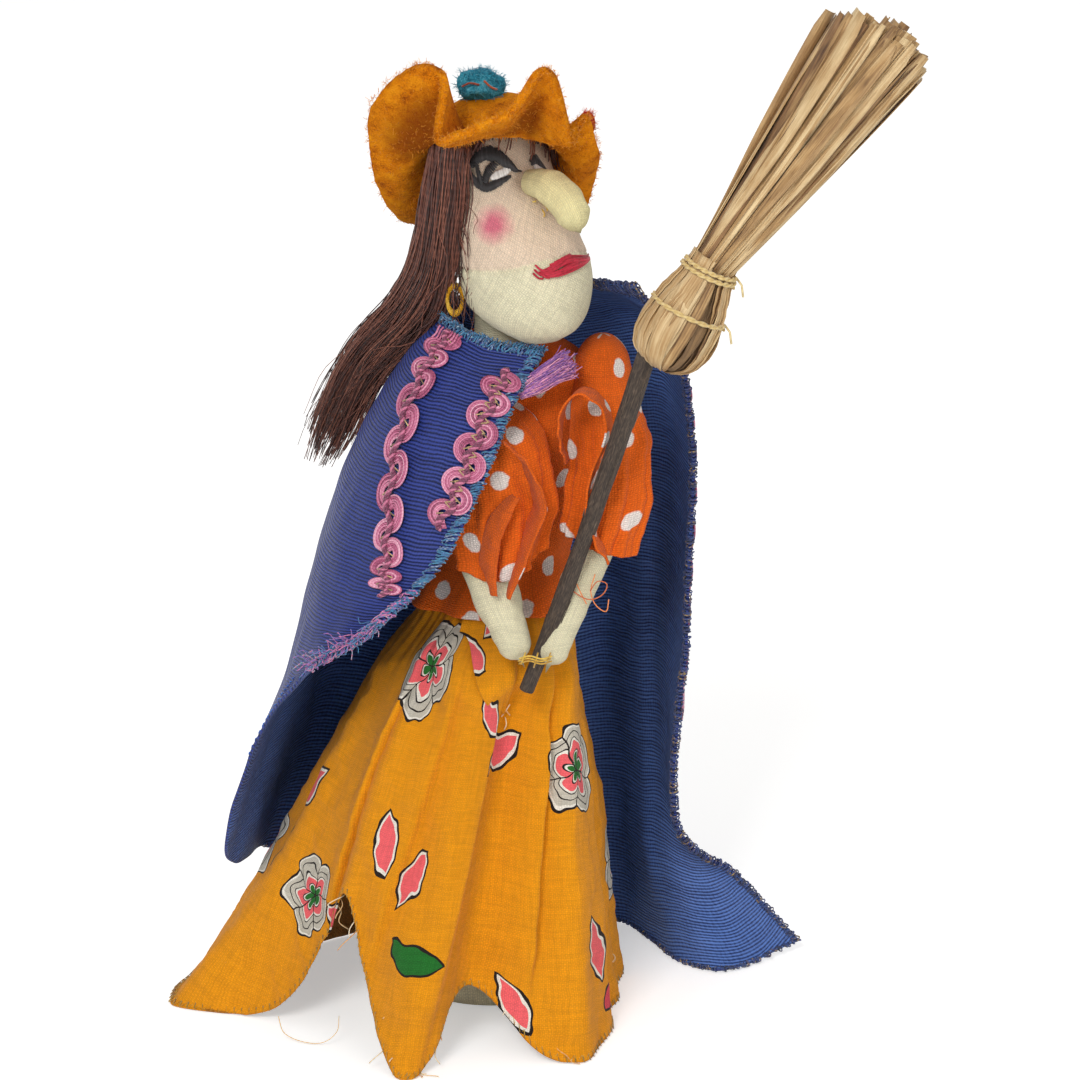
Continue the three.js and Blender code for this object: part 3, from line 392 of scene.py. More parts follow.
def makeStudio():
    data = bpy.data.cameras.new("Camera")
    data.lens, data.sensor_width, data.clip_start, data.clip_end = studio["lens"], 36, 0.05, 20
    camera = bpy.data.objects.new("Camera", data)
    scene.collection.objects.link(camera)
    rise = math.radians(studio["elevation"])
    away = Vector((0, -math.cos(rise), math.sin(rise)))
    camera.location = (Vector(studio["target"]) + away * studio["distance"]) * mm
    camera.rotation_euler = (-away).to_track_quat("-Z", "Y").to_euler()
    scene.camera = camera

    bm = bmesh.new()
    bmesh.ops.create_grid(bm, x_segments=1, y_segments=1, size=6)
    material, tree = newMaterial("White paper sweep", Roughness=0.9, Specular_IOR_Level=0.1,
                                 Base_Color=colour(studio["floorColour"]), Emission_Color=(1, 1, 1, 1))
    glow = addNode(tree, "Math", seenDirectly(tree), studio["floorGlow"], operation="MULTIPLY")
    tree.links.new(glow, tree.nodes["Principled BSDF"].inputs["Emission Strength"])
    floor = newObject("floor", bm, [material], None)
    floor.location.z = -0.0002

    world = bpy.data.worlds.new("Soft studio")
    scene.world = world
    world.use_nodes = True
    tree = world.node_tree
    strength = addNode(tree, "MapRange", seenDirectly(tree), 0, 1, studio["world"], 1.0)
    tree.links.new(strength, tree.nodes["Background"].inputs["Strength"])
    tree.nodes["Background"].inputs["Color"].default_value = (1, 1, 1, 1)

    lamps = {
        "key": ((-330, -1050, 950), 420, studio["key"]),
        "fill": ((620, -1050, 420), 600, studio["fill"]),
        "rim": ((300, 900, 900), 600, studio["rim"]),
    }
    for name, (place, size, power) in lamps.items():
        light = bpy.data.lights.new(name, "AREA")
        light.size, light.energy = size * mm, power
        lamp = bpy.data.objects.new(name, light)
        scene.collection.objects.link(lamp)
        lamp.location = Vector(place) * mm
        aim = Vector(studio["target"]) - Vector(place)
        lamp.rotation_euler = aim.to_track_quat("-Z", "Y").to_euler()


makeStudio()
print("studio made")


# Forms shared with the frame: the doll's own measures in mm

gap = 0.3
printedCotton = 0.9
capeFaille = 1.0
hatFelt = 2.2
waistHeight = 116
bodyStations = [
    [0, 0, 0, 19, 17], [5, 0, 0, 24, 21], [45, 0, 0, 25, 22], [85, 1, -1, 21, 17],
    [116, 2, -1, 16.4, 13.5], [142, 6, 0, 18, 12.5], [166, 9.5, 0, 18.5, 12], [177, 9, -0.5, 14, 10.5],
    [184, 5, -1.5, 8.8, 8.8], [197, 4, -2, 8.2, 8.2],
]
neck = np.array([4, -2, 184.0])


def bodyPoint(bearing, height, grow):
    found = stationAt(bodyStations, height)
    turn = np.radians(bearing)
    x = found[:, 1] + (found[:, 3] + grow) * np.cos(turn)
    y = found[:, 2] + (found[:, 4] + grow) * np.sin(turn)
    return np.stack([x, y, np.broadcast_to(height, x.shape)], axis=1)


# Stuffed body, of plain ecru calico

calico = clothMaterial("Ecru calico, plain woven", "#E6DEBC", 0.5, depth=0.13, paintedHollowShade=0.26)


def makeBody():
    bearings, heights = np.linspace(0, 360, 65), np.concatenate([[0, 0.3, 1, 2, 4], np.linspace(7, 190, 60)])
    b, h = np.meshgrid(bearings, heights)
    squeeze = np.where(h < 2, (2 - h) * 1.2, 0)
    rows = bodyPoint(b.ravel(), h.ravel(), -squeeze.ravel()).reshape(*b.shape, 3)
    foot = np.broadcast_to([0, 0, 0.0], (1, len(bearings), 3))
    top = np.broadcast_to([neck[0], neck[1], 190.4], (1, len(bearings), 3))
    grid = np.concatenate([foot, rows, top])
    body = surface("dollBody", grid, clothUv(grid), [calico], "doll", closed=True)
    standFor("stuffed_body")


makeBody()

# Blouse of orange cotton with white spots

blouseValues = {"base": "#E8640F", "spot": "#EFE4DC", "spotPitch": 9.6, "hem": 4.6}


def spots(tree, uv):  # oval printed spots in a drifting half-drop, each with its own small shift
    laid = addNode(tree, "Mapping", Vector=uv, Rotation=(0, 0, 0.7), Scale=(1, 0.68, 0))
    edge = addNode(tree, "TexNoise", Vector=uv, Scale=0.6, Detail=2, out="Color")
    torn = addNode(tree, "VectorMath", edge, 0.8, operation="SCALE")
    moved = addNode(tree, "VectorMath", laid, torn, operation="ADD")
    cells = addNode(tree, "TexVoronoi", Vector=moved, Scale=1 / blouseValues["spotPitch"], Randomness=0.35,
                    voronoi_dimensions="2D")
    share = addNode(tree, "MapRange", cells, 0.165, 0.195, 1, 0)
    return addNode(tree, "Mix", share, blouseValues["base"], blouseValues["spot"], data_type="RGBA")


spottedCotton = clothMaterial("Orange cotton, spot printed", spots, 0.56, depth=0.14, paintedHollowShade=0.3)
spottedWrongSide = clothMaterial("Orange cotton, wrong side", "#D95E18", 0.56, depth=0.14, paintedHollowShade=0.3)


def makeBlouse():
    u, v = sheetGrid(181, 70)
    heights = np.interp(v, np.linspace(0, 1, 10), [183, 180, 177, 172, 165, 150, 134, 123, 116, 112])
    lap = np.clip((waistHeight + 8 - heights) / 12, 0, 1)
    ruffle = 0.9 * lap * (1 + np.cos(14 * np.pi * u)) + 0.5 * lap * np.sin(26 * np.pi * u)
    grow = gap + 0.7 * printedCotton + blouseValues["hem"] * lap + ruffle
    crease = smoothstep(heights, 112, 140) * (1 - smoothstep(heights, 160, 175))
    grow = grow + 0.5 * np.sin(18 * np.pi * u + 0.06 * heights) * crease
    grid = bodyPoint((-360 * u).ravel(), heights.ravel(), grow.ravel()).reshape(*u.shape, 3)
    blouse = surface("blouseCloth", grid, clothUv(grid), [spottedCotton, spottedWrongSide], "doll",
                     closed=True, thickness=0.5, backMaterial=True)
    standFor("blouse")


makeBlouse()
print("body and blouse made")

# Head, drawn above the neck joint and turned to the doll's left

faceTurn = math.radians(36)
facing = np.array([math.sin(faceTurn), -math.cos(faceTurn), 0])
sideways = np.array([math.cos(faceTurn), math.sin(faceTurn), 0])
headStations = [
    [2.2, 14.5, 6, 6], [5.5, 12, 13.5, 11], [10.5, 9.5, 17.8, 14.6], [19, 8.5, 19, 16],
    [26.5, 5.5, 17.6, 15.6], [34, 1.5, 15.2, 14.8], [42, -2, 13.6, 13.8], [50, -3, 11.8, 12],
    [56, -3, 7.5, 7.8],
]


def headPoint(bearing, height, grow):
    bearing, height = np.broadcast_arrays(*(np.atleast_1d(x).astype(float) for x in (bearing, height)))
    found = stationAt(headStations, height)
    turn = np.radians(bearing)
    forward = found[:, 1] + (found[:, 2] + grow) * np.cos(turn)
    side = (found[:, 3] + grow) * np.sin(turn)
    up = np.array([0, 0, 1.0])
    return neck + facing * forward[:, None] + sideways * side[:, None] + up * height[:, None]


headValues = {
    "low": 2.2, "high": 56,
    "upper": "#E6D0B8", "chin": "#E3DCBC", "blush": "#D4567A", "blushSpot": (-52, 33), "blushRadius": 5.4,
    "seam": [[-180, 17], [-112, 19.7], [-77, 21.7], [-49, 23.2], [-21, 25.2], [20, 25.6], [90, 20],
             [180, 17]],
}


def faceColour(tree, uv):  # pink-dyed mesh above the seam, ecru below, and a blush dabbed on the cheek
    place = addNode(tree, "TexCoord", out="Object")
    above = addNode(tree, "Attribute", attribute_name="shade", out="Fac")
    base = addNode(tree, "Mix", above, headValues["chin"], headValues["upper"], data_type="RGBA")
    cheek = headPoint(*headValues["blushSpot"], 0)[0] * mm
    away = addNode(tree, "VectorMath", place, tuple(cheek), operation="DISTANCE")
    cloud = addNode(tree, "TexNoise", Vector=place, Scale=420, Detail=3)
    soft = addNode(tree, "Math", cloud, 0.0024, away, operation="MULTIPLY_ADD")
    reach = headValues["blushRadius"] * mm
    share = addNode(tree, "MapRange", soft, reach * 0.5, reach * 1.3, 0.85, 0)
    return addNode(tree, "Mix", share, base, headValues["blush"], data_type="RGBA")


faceCloth = clothMaterial("Fine calico, dyed and blushed", faceColour, 0.52, depth=0.12, paintedHollowShade=0.24,
                          turn=0.6)


def makeHead():
    bearings = np.linspace(0, 360, 121)
    low, high = headValues["low"], headValues["high"]
    heights = np.concatenate([[1.2, 1.4, 1.8], np.linspace(low, high, 110), [57, 57.8, 58.3]])
    shrink = np.concatenate([[0.1, 0.45, 0.8], np.ones(110), [0.82, 0.55, 0.2]])
    b, h = np.meshgrid(bearings, heights)
    grid = headPoint(b.ravel(), np.clip(h.ravel(), low, high), 0).reshape(*b.shape, 3)
    grid[..., 2] = neck[2] + h
    centre = grid[:, :-1].mean(axis=1)[:, None]
    grid = centre + (grid - centre) * np.stack([shrink, shrink, np.ones_like(shrink)], axis=1)[:, None]
    grid[..., 2] = neck[2] + h
    out = unit(grid - centre)
    seamTable = np.array(headValues["seam"])
    seam = np.interp(np.mod(b + 180, 360) - 180, seamTable[:, 0], seamTable[:, 1])
    off = h - seam
    pucker = 0.22 * np.sin(np.radians(b) * 31) * np.exp(-(off / 2.2) ** 2)
    groove = -0.5 * np.exp(-(off / 0.45) ** 2) + 0.2 * np.exp(-((off + 1.1) / 0.8) ** 2)
    stuffing = 0.4 * ripple(grid.reshape(-1, 3), 8).reshape(b.shape)
    dimple = -1.1 * np.exp(-((h - 43.5) / 3) ** 2 - ((np.mod(b + 180, 360) - 180 + 12) / 9) ** 2)
    grid = grid + out * (pucker + groove + stuffing + dimple)[..., None]
    grid[:, -1] = grid[:, 0]
    poles = [np.broadcast_to(row.mean(axis=0), (1, len(bearings), 3)) for row in (grid[0], grid[-1])]
    grid = np.concatenate([poles[0], grid, poles[1]])
    uv = np.stack(np.broadcast_arrays(np.concatenate([b[:1], b, b[-1:]]) / 360 * 96,
                                      np.concatenate([h[:1], h, h[-1:]])), axis=2)
    above = smoothstep(np.concatenate([off[:1], off, off[-1:]]), -0.3, 0.3)
    head = surface("headStuffed", grid, uv, [faceCloth], "head", closed=True, colours=above)
    standFor("head")


makeHead()

noseCloth = clothMaterial("Cream calico, nose", "#EADFA8", 0.46, depth=0.12, paintedHollowShade=0.24)


def makeNose():
    route = evenSpline(np.array([[10.6, -13.2, 42.8], [15.6, -19, 43], [20.4, -24.2, 39.4],
                                 [22.8, -26.8, 34.2]])
                       + [0, 0, neck[2]], 48)
    share = np.linspace(0, 1, 48)
    radius = 4.7 * smoothValue([0.7, 0.84, 0.98, 1, 0.94, 0.62], share)
    radius = radius * np.sqrt(1 - np.clip((share - 0.9) / 0.1, 0, 1) ** 2 * 0.94)
    grid = sweptGrid(route, radius, radius, 48, [0, 0, 1.0], 0.9)
    places = grid.reshape(-1, 3)
    lumps = (0.4 * ripple(places, 3.4) + 0.15 * ripple(places, 1.4, 3.0)).reshape(grid.shape[:2])
    grid = swelled(grid, lumps)
    nose = surface("noseStuffed", grid, clothUv(grid), [noseCloth], "head", closed=True)
    standFor("nose")


makeNose()
print("head and nose made")

# Arms of calico, gathered sleeves of the spotted cotton

rightShoulder, leftShoulder = [-6.4, -6, 174], [29, -6, 174]
armRoutes = {
    "right": ([rightShoulder, [-4.4, -17, 159], [-3.8, -24, 142], [2, -31.5, 122], [8.2, -37.6, 107.6]],
              [5.6, 5.9, 6.8, 6.2, 4]),
    "left": ([leftShoulder, [31, -16, 158], [28.2, -24, 138], [21, -31.2, 121], [15.2, -37.6, 106.2]],
             [5.6, 5.7, 5.3, 4.8, 3.9]),
}


def makeArm(side):
    points, radii = armRoutes[side]
    count = 90
    route, share = evenSpline(points, count), np.linspace(0, 1, count)
    radius = smoothValue(radii, share)
    ends = np.sqrt(np.clip(1 - ((np.abs(share - 0.5) - 0.45) / 0.05).clip(0) ** 2, 0.02, 1))
    grid = sweptGrid(route, radius * ends, 0.94 * radius * ends, 48, [0, -1.0, 0], 2.4)
    places = grid.reshape(-1, 3)
    lumps = (0.3 * ripple(places, 6) + 0.18 * ripple(places, 2.2)).reshape(grid.shape[:2])
    wrist = 0.35 * np.exp(-((np.concatenate([[0], share, [1]]) - 0.86) / 0.03) ** 2)
    grid = swelled(grid, lumps - wrist[:, None])
    arm = surface(side + "Arm", grid, clothUv(grid), [calico], "arms", closed=True)
    standFor(side + "_arm")


for side in armRoutes:
    makeArm(side)

orangeThread = threadMaterial("Orange sewing thread", ["#B8480C", "#F08A3C"], roughness=0.5)
sleeves = {
    "right": {
        "route": [rightShoulder, [0.5, -19, 161], [3, -25, 148], [3, -29, 136]],
        "crown": 7.25, "puff": 13.2, "hem": 11.2, "slant": 8, "lowest": -100, "foldStart": 0.4, "seed": 3.0,
    },
    "left": {
        "route": [leftShoulder, [31, -17, 160], [30.4, -22.5, 148], [27.6, -27, 136]],
        "crown": 10.3, "puff": 9.8, "hem": 8.6, "slant": 3.5, "lowest": -20, "foldStart": 2, "seed": 8.0,
    },
}
sleeveDome = {"radius": 7.7 - printedCotton / 2, "share": 0.26, "flatness": 0.66}


def sleeveShare(v):  # share of the way down the sleeve's route, which starts under the dome
    return np.maximum(0, (v - sleeveDome["share"]) / (1 - sleeveDome["share"]))


def sleevePoint(sleeve, u, v):
    bearing = -2 * np.pi * u
    share = sleeveShare(v)
    turnDown = np.pi / 2 * np.minimum(1, v / sleeveDome["share"])
    fold = np.cos(5 * bearing + sleeve["foldStart"]) * share
    creases = 0.9 * np.cos(11 * bearing + 3 * share) + 0.5 * np.cos(19 * bearing - 2 * share)
    creases = creases * share * (1 - 0.3 * share)
    halves = [sleeveDome["radius"], sleeve["puff"], sleeve["puff"], sleeve["hem"]]
    half = smoothValue(halves, share) + fold + creases
    flatness = 1 + (sleeveDome["flatness"] - 1) * np.minimum(1, 5 * share)
    point = splineAt(sleeve["route"], share)
    point[:, 0] += half * np.cos(bearing) * np.sin(turnDown)
    point[:, 1] += half * flatness * np.sin(bearing) * np.sin(turnDown)
    point[:, 2] += sleeve["crown"] * np.cos(turnDown)
    point[:, 2] -= sleeve["slant"] * share * np.cos(bearing - math.radians(sleeve["lowest"]))
    return point


# Laps of the gathered cloth that stand off the sleeves: an edge line, and how far the cloth runs back
sleeveLaps = {
    "rightSleeveFlap": {
        "side": "right", "back": [-3, 6.5, 0.5],
        "line": [[4.6, -36, 164.5], [9, -38, 161.5], [12.6, -38.5, 155], [14.4, -38, 147.5], [11.5, -39, 140],
                 [8.6, -40, 132], [5.6, -40, 125]],
    },
    "rightSleeveFold": {
        "side": "right", "back": [-4.5, 5.5, 1],
        "line": [[7.6, -37, 150.5], [3.8, -39, 142], [1.9, -40, 133], [2.2, -40, 125.5]],
    },
    "leftSleevePleat": {
        "side": "left", "back": [1.5, 8, -1],
        "line": [[19.6, -30, 158], [17.6, -33.5, 166], [18.6, -33, 173.5], [23, -31, 176.6], [28, -31, 173],
                 [29.6, -33.5, 166], [26.4, -35, 158], [24.4, -36.5, 149], [26.4, -37.5, 140],
                 [30, -37, 133]],
    },
}
looseLoops = [  # orange threads that have pulled loose at the left sleeve's hem
    [[18.8, -35, 128.6], [21.9, -36, 125.1], [25.7, -36, 123.2], [29, -35.5, 124.5], [30, -35, 127],
     [27.7, -35, 127.8], [25.7, -35, 125.1]],
    [[27, -33, 129], [25.9, -35, 125], [27.2, -35.5, 121.5], [29.8, -35, 119.6], [30.5, -34, 122.5]],
    [[21, -34, 131], [22.5, -36, 127], [24.8, -35.5, 121.8]],
]


def makeSleeve(side):
    sleeve = sleeves[side]
    u, v = sheetGrid(181, 90)
    grid = sleevePoint(sleeve, u.ravel(), v.ravel())
    middle = splineAt(sleeve["route"], sleeveShare(v.ravel()))
    out = unit((grid - middle) * [1, 1, 0])
    swell = 0.9 * ripple(grid, 6, sleeve["seed"]) + 0.35 * ripple(grid, 2.8, sleeve["seed"])
    swell = swell * smoothstep(v.ravel(), 0.1, 0.4)
    grid = (grid + out * swell[:, None]).reshape(*u.shape, 3)
    grid[:, -1] = grid[:, 0]
    uv = clothUv(grid)
    uv[..., 0] *= 0.9
    cloth = surface(side + "Sleeve", grid, uv, [spottedCotton, spottedWrongSide], "arms", closed=True,
                    thickness=0.5, backMaterial=True)
    standFor(side + "_sleeve")
    for name, values in sleeveLaps.items():
        if values["side"] == side:
            edge, across = evenSpline(values["line"], 90), np.linspace(0, 1, 16)[:, None, None]
            narrow = np.sin(np.linspace(0.12, np.pi - 0.12, 90)) ** 0.5
            runs = edge + np.array(values["back"]) * across * narrow[:, None]
            runs = runs + np.array([0, -0.9, 0]) * np.sin(np.pi * across)
            places = runs.reshape(-1, 3)
            runs = (places + 0.6 * ripple(places, 3.4, 2.0)[:, None]).reshape(runs.shape)
            lap = surface(name, runs, clothUv(runs) + 5.0, [spottedCotton, spottedWrongSide], "arms",
                          thickness=0.55, backMaterial=True)
    if side == "left":
        routes = [evenSpline(loop, 30) for loop in looseLoops]
        loose = threads("leftSleeveThreads", routes, 0.15, orangeThread, "arms", sides=2)


for side in sleeves:
    makeSleeve(side)
print("arms and sleeves made")

# Skirt of printed mustard cotton; the hem's table holds bearing, reach, height and how late it flares

skirtHem = (-18, -8)
skirtHemStations = [
    [-176, 67, 0, 2], [-165, 50, 0.5, 1.15], [-151, 38, 9, 1.1], [-138, 34, 27, 1.2], [-124, 33.4, 42.5, 1.1],
    [-112, 38, 22, 1.1], [-96, 50, 0, 1.1], [-87, 46, 4, 1.1], [-77, 38, 17, 1.1], [-64, 38, 17, 1.1],
    [-53, 51, 3, 1], [-43, 59, 0, 0.8], [-26, 54, 0, 0.85], [-8, 50, 0, 0.92], [20, 54, 0, 0.92],
    [60, 44, 0, 1], [100, 43.5, 0, 1], [140, 47, 0, 1], [162, 60, 0, 1.5],
]


def skirtPoint(bearing, v):
    turn = np.radians(bearing)
    waist = bodyPoint(bearing, np.full_like(bearing, waistHeight), gap + printedCotton / 2)
    waistMiddle = np.array([2.0, -1.0])
    waistReach = np.hypot(waist[:, 0] - waistMiddle[0], waist[:, 1] - waistMiddle[1])
    hemReach, hemHeight, flare = edgeAt(skirtHemStations, bearing)
    bulge = (0.5 - 0.5 * np.cos(turn)) * (5 * np.sin(np.pi * v) + 4 * smoothstep(v, 0.05, 0.2))
    lap = 7 * np.exp(-(((v - 0.16) / 0.07) ** 2)) * np.maximum(0, np.cos(turn + 1.4)) ** 3
    reach = waistReach + (hemReach - waistReach) * v ** flare + bulge * (1 - v ** 4) + lap
    x = waistMiddle[0] + (skirtHem[0] - waistMiddle[0]) * v + reach * np.cos(turn)
    y = waistMiddle[1] + (skirtHem[1] - waistMiddle[1]) * v + reach * np.sin(turn)
    return np.stack([x, y, waistHeight + (hemHeight - 0.5 - waistHeight) * v], axis=1)


# The print is a loose floral of its own design: lobed blossoms and pointed leaves with an ink outline
skirtValues = {
    "base": "#E69407", "ink": "#1C1310", "petal": "#C8C1B2", "white": "#EFE9DC", "coral": "#F2656A",
    "rose": "#D8404E", "green": "#1E6B25",
    "rings": [(0, "green"), (0.06, "white"), (0.1, "ink"), (0.14, "coral"), (0.34, "white"), (0.4, "ink"),
              (0.43, "petal"), (0.58, "ink"), (0.61, "petal"), (0.73, "white"), (0.77, "ink"),
              (0.82, "clear")],
    "blossoms": [(228, 24, 15, 5, 0.3), (148, 50, 12.5, 5, 0.9), (256, 92, 11, 5, 0.2), (104, 88, 12, 5, 0.4),
                 (62, 36, 15, 5, 0.5), (20, 92, 12, 5, 0.2), (292, 40, 13, 5, 0.6), (96, 22, 10, 5, 0.8)],
    "pleats": [(-74, -92, 5.5, 22), (-102, -113, 3.5, 14), (-52, -58, 4.5, 16), (-126, -139, 3.0, 13)],
    "leaves": [
        (189, 36, 0.9, 4.4, 8.5, "coral"), (178, 47, 2.2, 4.6, 9, "coral"),
        (222, 72, 0.35, 4.6, 9.5, "coral"),
        (209, 80, -0.5, 4.2, 9, "coral"), (203, 100, 1.3, 4, 9, "green"), (238, 96, 1.0, 4.8, 9, "coral"),
        (236, 114, -0.4, 3.6, 7, "rose"), (142, 98, 0.3, 4.4, 9.5, "coral"), (132, 110, -0.7, 4.4, 9, "rose"),
        (166, 112, 0.5, 4, 9, "coral"), (60, 92, 0.7, 4.6, 9.5, "coral"), (72, 80, -0.7, 4.4, 9, "green"),
        (36, 64, 0.4, 4.6, 9.5, "coral"), (280, 84, 0.3, 4.8, 10, "green"), (272, 66, -0.8, 4.4, 9, "coral"),
    ],
    "fraysAt": [-101, -99, -97, -96, -95, -93, -91, -90, -88, -86, -131, -127, -119, -60, -56, -50, -46, -44,
                4, 172],
    "frayLoop": [[-55.5, -34, 6], [-54, -36, 2.2], [-49, -38, 0.5], [-43.5, -39, 0.8], [-40, -38, 3.5],
                 [-39.5, -36, 7]],
    "waistTies": [[[-1, -1, 2.4], [0.2, -1.6, 0.8], [1.2, -1, -0.8]], [[1.2, -1, 2.2], [0.1, -1.6, 0.6],
                  [-1, -1, -1.2]], [[0, -0.9, -1.4], [0.3, -1.5, -3], [-0.2, -0.9, -4.8]]],
}


def printedFlowers(tree, uv):
    drawn, ground = drifting(tree, uv, 0.14, 1, 5.0), skirtValues["base"]

    def local(u, v, turn, size):  # the cloth's place as seen from one motif
        return addNode(tree, "Mapping", Vector=drawn, Location=(u, v, 0), Rotation=(0, 0, turn), Scale=size,
                       vector_type="TEXTURE")

    def inked(distance, rings):  # flat rings of colour round a motif, clear outside the last one
        stops = [(place, skirtValues[tone]) for place, tone in rings[:-1]] + [(rings[-1][0], None)]
        ramp = addNode(tree, "ValToRGB", distance, stops=stops)
        ramp.node.color_ramp.interpolation = "CONSTANT"
        return ramp

    for u, v, turn, wide, tall, tone in skirtValues["leaves"]:
        split = addNode(tree, "SeparateXYZ", local(u, v, turn, (wide, tall, 1))).node.outputs
        aside = addNode(tree, "Math", split[0], operation="ABSOLUTE")
        lens = addNode(tree, "Math", split[1], split[1], aside, operation="MULTIPLY_ADD")
        edge = addNode(tree, "Math", lens, 0.7, operation="MULTIPLY")
        rim = "white" if tone == "coral" else tone
        ramp = inked(edge, [(0, tone), (0.47, rim), (0.6, "ink"), (0.74, "clear")])
        ground = addNode(tree, "Mix", ramp.node.outputs[1], ground, ramp, data_type="RGBA")
    for u, v, radius, petals, turn in skirtValues["blossoms"]:
        place = local(u, v, turn, (radius, radius, 1000))
        split = addNode(tree, "SeparateXYZ", place).node.outputs
        away = addNode(tree, "VectorMath", place, operation="LENGTH")
        around = addNode(tree, "Math", split[1], split[0], operation="ARCTAN2")
        wave = addNode(tree, "Math", around, petals / 2, operation="MULTIPLY")
        cosine = addNode(tree, "Math", wave, operation="COSINE")
        lobe = addNode(tree, "Math", cosine, operation="ABSOLUTE")
        rounded = addNode(tree, "Math", lobe, -0.22, away, operation="MULTIPLY_ADD")
        ramp = inked(rounded, skirtValues["rings"])
        cleft = addNode(tree, "Math", lobe, away, operation="MULTIPLY")
        line = addNode(tree, "Math", cleft, 0.04, operation="LESS_THAN")
        petalled = addNode(tree, "Mix", line, ramp, skirtValues["ink"], data_type="RGBA")
        ground = addNode(tree, "Mix", ramp.node.outputs[1], ground, petalled, data_type="RGBA")
    return ground


printedMustard = clothMaterial("Mustard cotton, floral print", printedFlowers, 0.46, depth=0.1, paintedHollowShade=0.2)
mustardWrongSide = clothMaterial("Mustard cotton, pale wrong side", "#E2A45C", 0.46, depth=0.1, paintedHollowShade=0.3)


def skirtCloth(u, v):  # the skirt's middle surface with its gathers, drops and small wrinkles
    bearing = stationBearing(skirtHemStations, 1 - u)
    grid, turn = skirtPoint(bearing, v), np.radians(bearing)
    out = outward(turn)
    gathers = 0.4 * np.cos(38 * turn + 4 * np.sin(3 * turn)) * (1 - smoothstep(v, 0.03, 0.3))
    drops = 0.9 * np.cos(13 * turn + 2 * np.sin(2 * turn) + 1.2 * v) * smoothstep(v, 0.15, 0.5)
    wrinkle = 1.5 * ripple(grid * [1, 1, 0.5], 15, 2.0) + 0.6 * ripple(grid * [1, 1, 0.7], 6, 5.0)
    slanted = grid @ np.array([[1, 0, 0.4], [0, 1, 0], [-0.4, 0, 1]]) * [0.5, 1, 1]
    creases = 0.5 * (1 - np.abs(ripple(slanted, 9, 7.0)) * 3).clip(0)
    pleats = 0 * v
    for start, end, depth, wide in skirtValues["pleats"]:  # soft pleats, steep on one side, from the waist
        away = (bearing - (start + (end - start) * v)) / wide
        pleats = pleats + depth * np.where(away > 0, np.exp(-away ** 2 / 0.008), np.exp(-away ** 2 / 0.5))
    pleats = pleats * smoothstep(v, 0.02, 0.35) * (1 - 0.8 * smoothstep(v, 0.75, 1.0))
    grid = grid + out * (gathers + drops + pleats + (wrinkle + creases) * smoothstep(v, 0.0, 0.25))[:, None]
    grid[:, 2] = np.maximum(grid[:, 2], 0.3)
    return grid


def makeSkirt():
    u, v = sheetGrid(343, 130)
    grid = skirtCloth(u.ravel(), v.ravel()).reshape(*u.shape, 3)
    grid[:, -1] = grid[:, 0]
    skirt = surface("skirtCloth", grid, clothUv(grid), [printedMustard, mustardWrongSide], "doll",
                    closed=True, thickness=0.5, backMaterial=True)
    standFor("skirt")
    hem, frays = makeHemThreads(grid)
    lap, stitches = makeWaistLap()


def makeWaistLap():  # spare cloth at the waist, folded down over the skirt and caught with a few stitches
    s, t = sheetGrid(40, 26)
    s, t = s.ravel(), t.ravel()
    bearing = -116 + 42 * s + 3 * t
    v = 0.012 + t * (0.07 + 0.2 * smoothstep(s, 0.1, 1.0))
    turn = np.radians(bearing)
    out = outward(turn)
    base = skirtPoint(bearing, v)
    lift = 1.1 + 2.2 * np.sin(np.pi * t * 0.72) * (0.5 + 0.5 * s) + 0.5 * ripple(base, 5, 3.0)
    tuck = 1 - smoothstep(s, 0.93, 1.0) * 0.8
    grid = (base + out * (lift * tuck)[:, None]).reshape(26, 40, 3)
    lap = surface("skirtWaistLap", grid, clothUv(grid) + [170, 30], [printedMustard, mustardWrongSide],
                  "doll", thickness=0.5)
    corner = grid[-1, -1]
    routes = [evenSpline(corner + np.array(route), 8) for route in skirtValues["waistTies"]]
    stitches = threads("waistStitches", routes, 0.17, paleThread, "doll", sides=2)
    return lap, stitches


def makeHemThreads(grid):  # a zigzag of yellow overlock round the hem, and threads that have worked loose
    picks = random.Random(31)
    rim, above = grid[-1], unit(grid[-8] - grid[-1])
    run = runAlong(rim)
    s = np.arange(0, run[-1], 0.55)
    edge = np.stack([np.interp(s, run, rim[:, k]) for k in range(3)], axis=1)
    up = np.stack([np.interp(s, run, above[:, k]) for k in range(3)], axis=1)
    out = unit((edge - edge.mean(axis=0)) * [1, 1, 0])
    zigzag = np.where(np.arange(len(s)) % 2, 1.9, 0.1)[:, None]
    side = np.where(np.arange(len(s)) % 4 < 2, 0.5, -0.35)[:, None]
    route = edge + up * zigzag + out * side
    route[:, 2] = np.maximum(route[:, 2], 0.3)
    hem = threads("hemOverlock", [route], 0.17, yellowCotton, "doll", sides=1)
    routes = []
    for bearing in skirtValues["fraysAt"]:
        for _ in range(2):
            place = np.array([[bearing + picks.uniform(-1.5, 1.5)], [picks.uniform(0.9, 1.0)]])
            start = skirtPoint(*place)[0]
            steps = np.linspace(0, 1, 12)[:, None]
            swing = np.array([picks.uniform(-5, 5), picks.uniform(-3, 1), 0])
            loose = start + swing * steps ** 1.6 + np.array([0, -0.8, -picks.uniform(2, 9)]) * steps
            loose = loose + 0.8 * np.sin(steps * picks.uniform(4, 9)) * np.array([1, 0.3, 0])
            loose[:, 2] = np.maximum(loose[:, 2], 0.4)
            routes.append(loose)
    routes.append(evenSpline(skirtValues["frayLoop"], 30))
    frays = threads("hemFrays", routes, 0.14, paleThread, "doll", sides=1, seed=12)
    return hem, frays


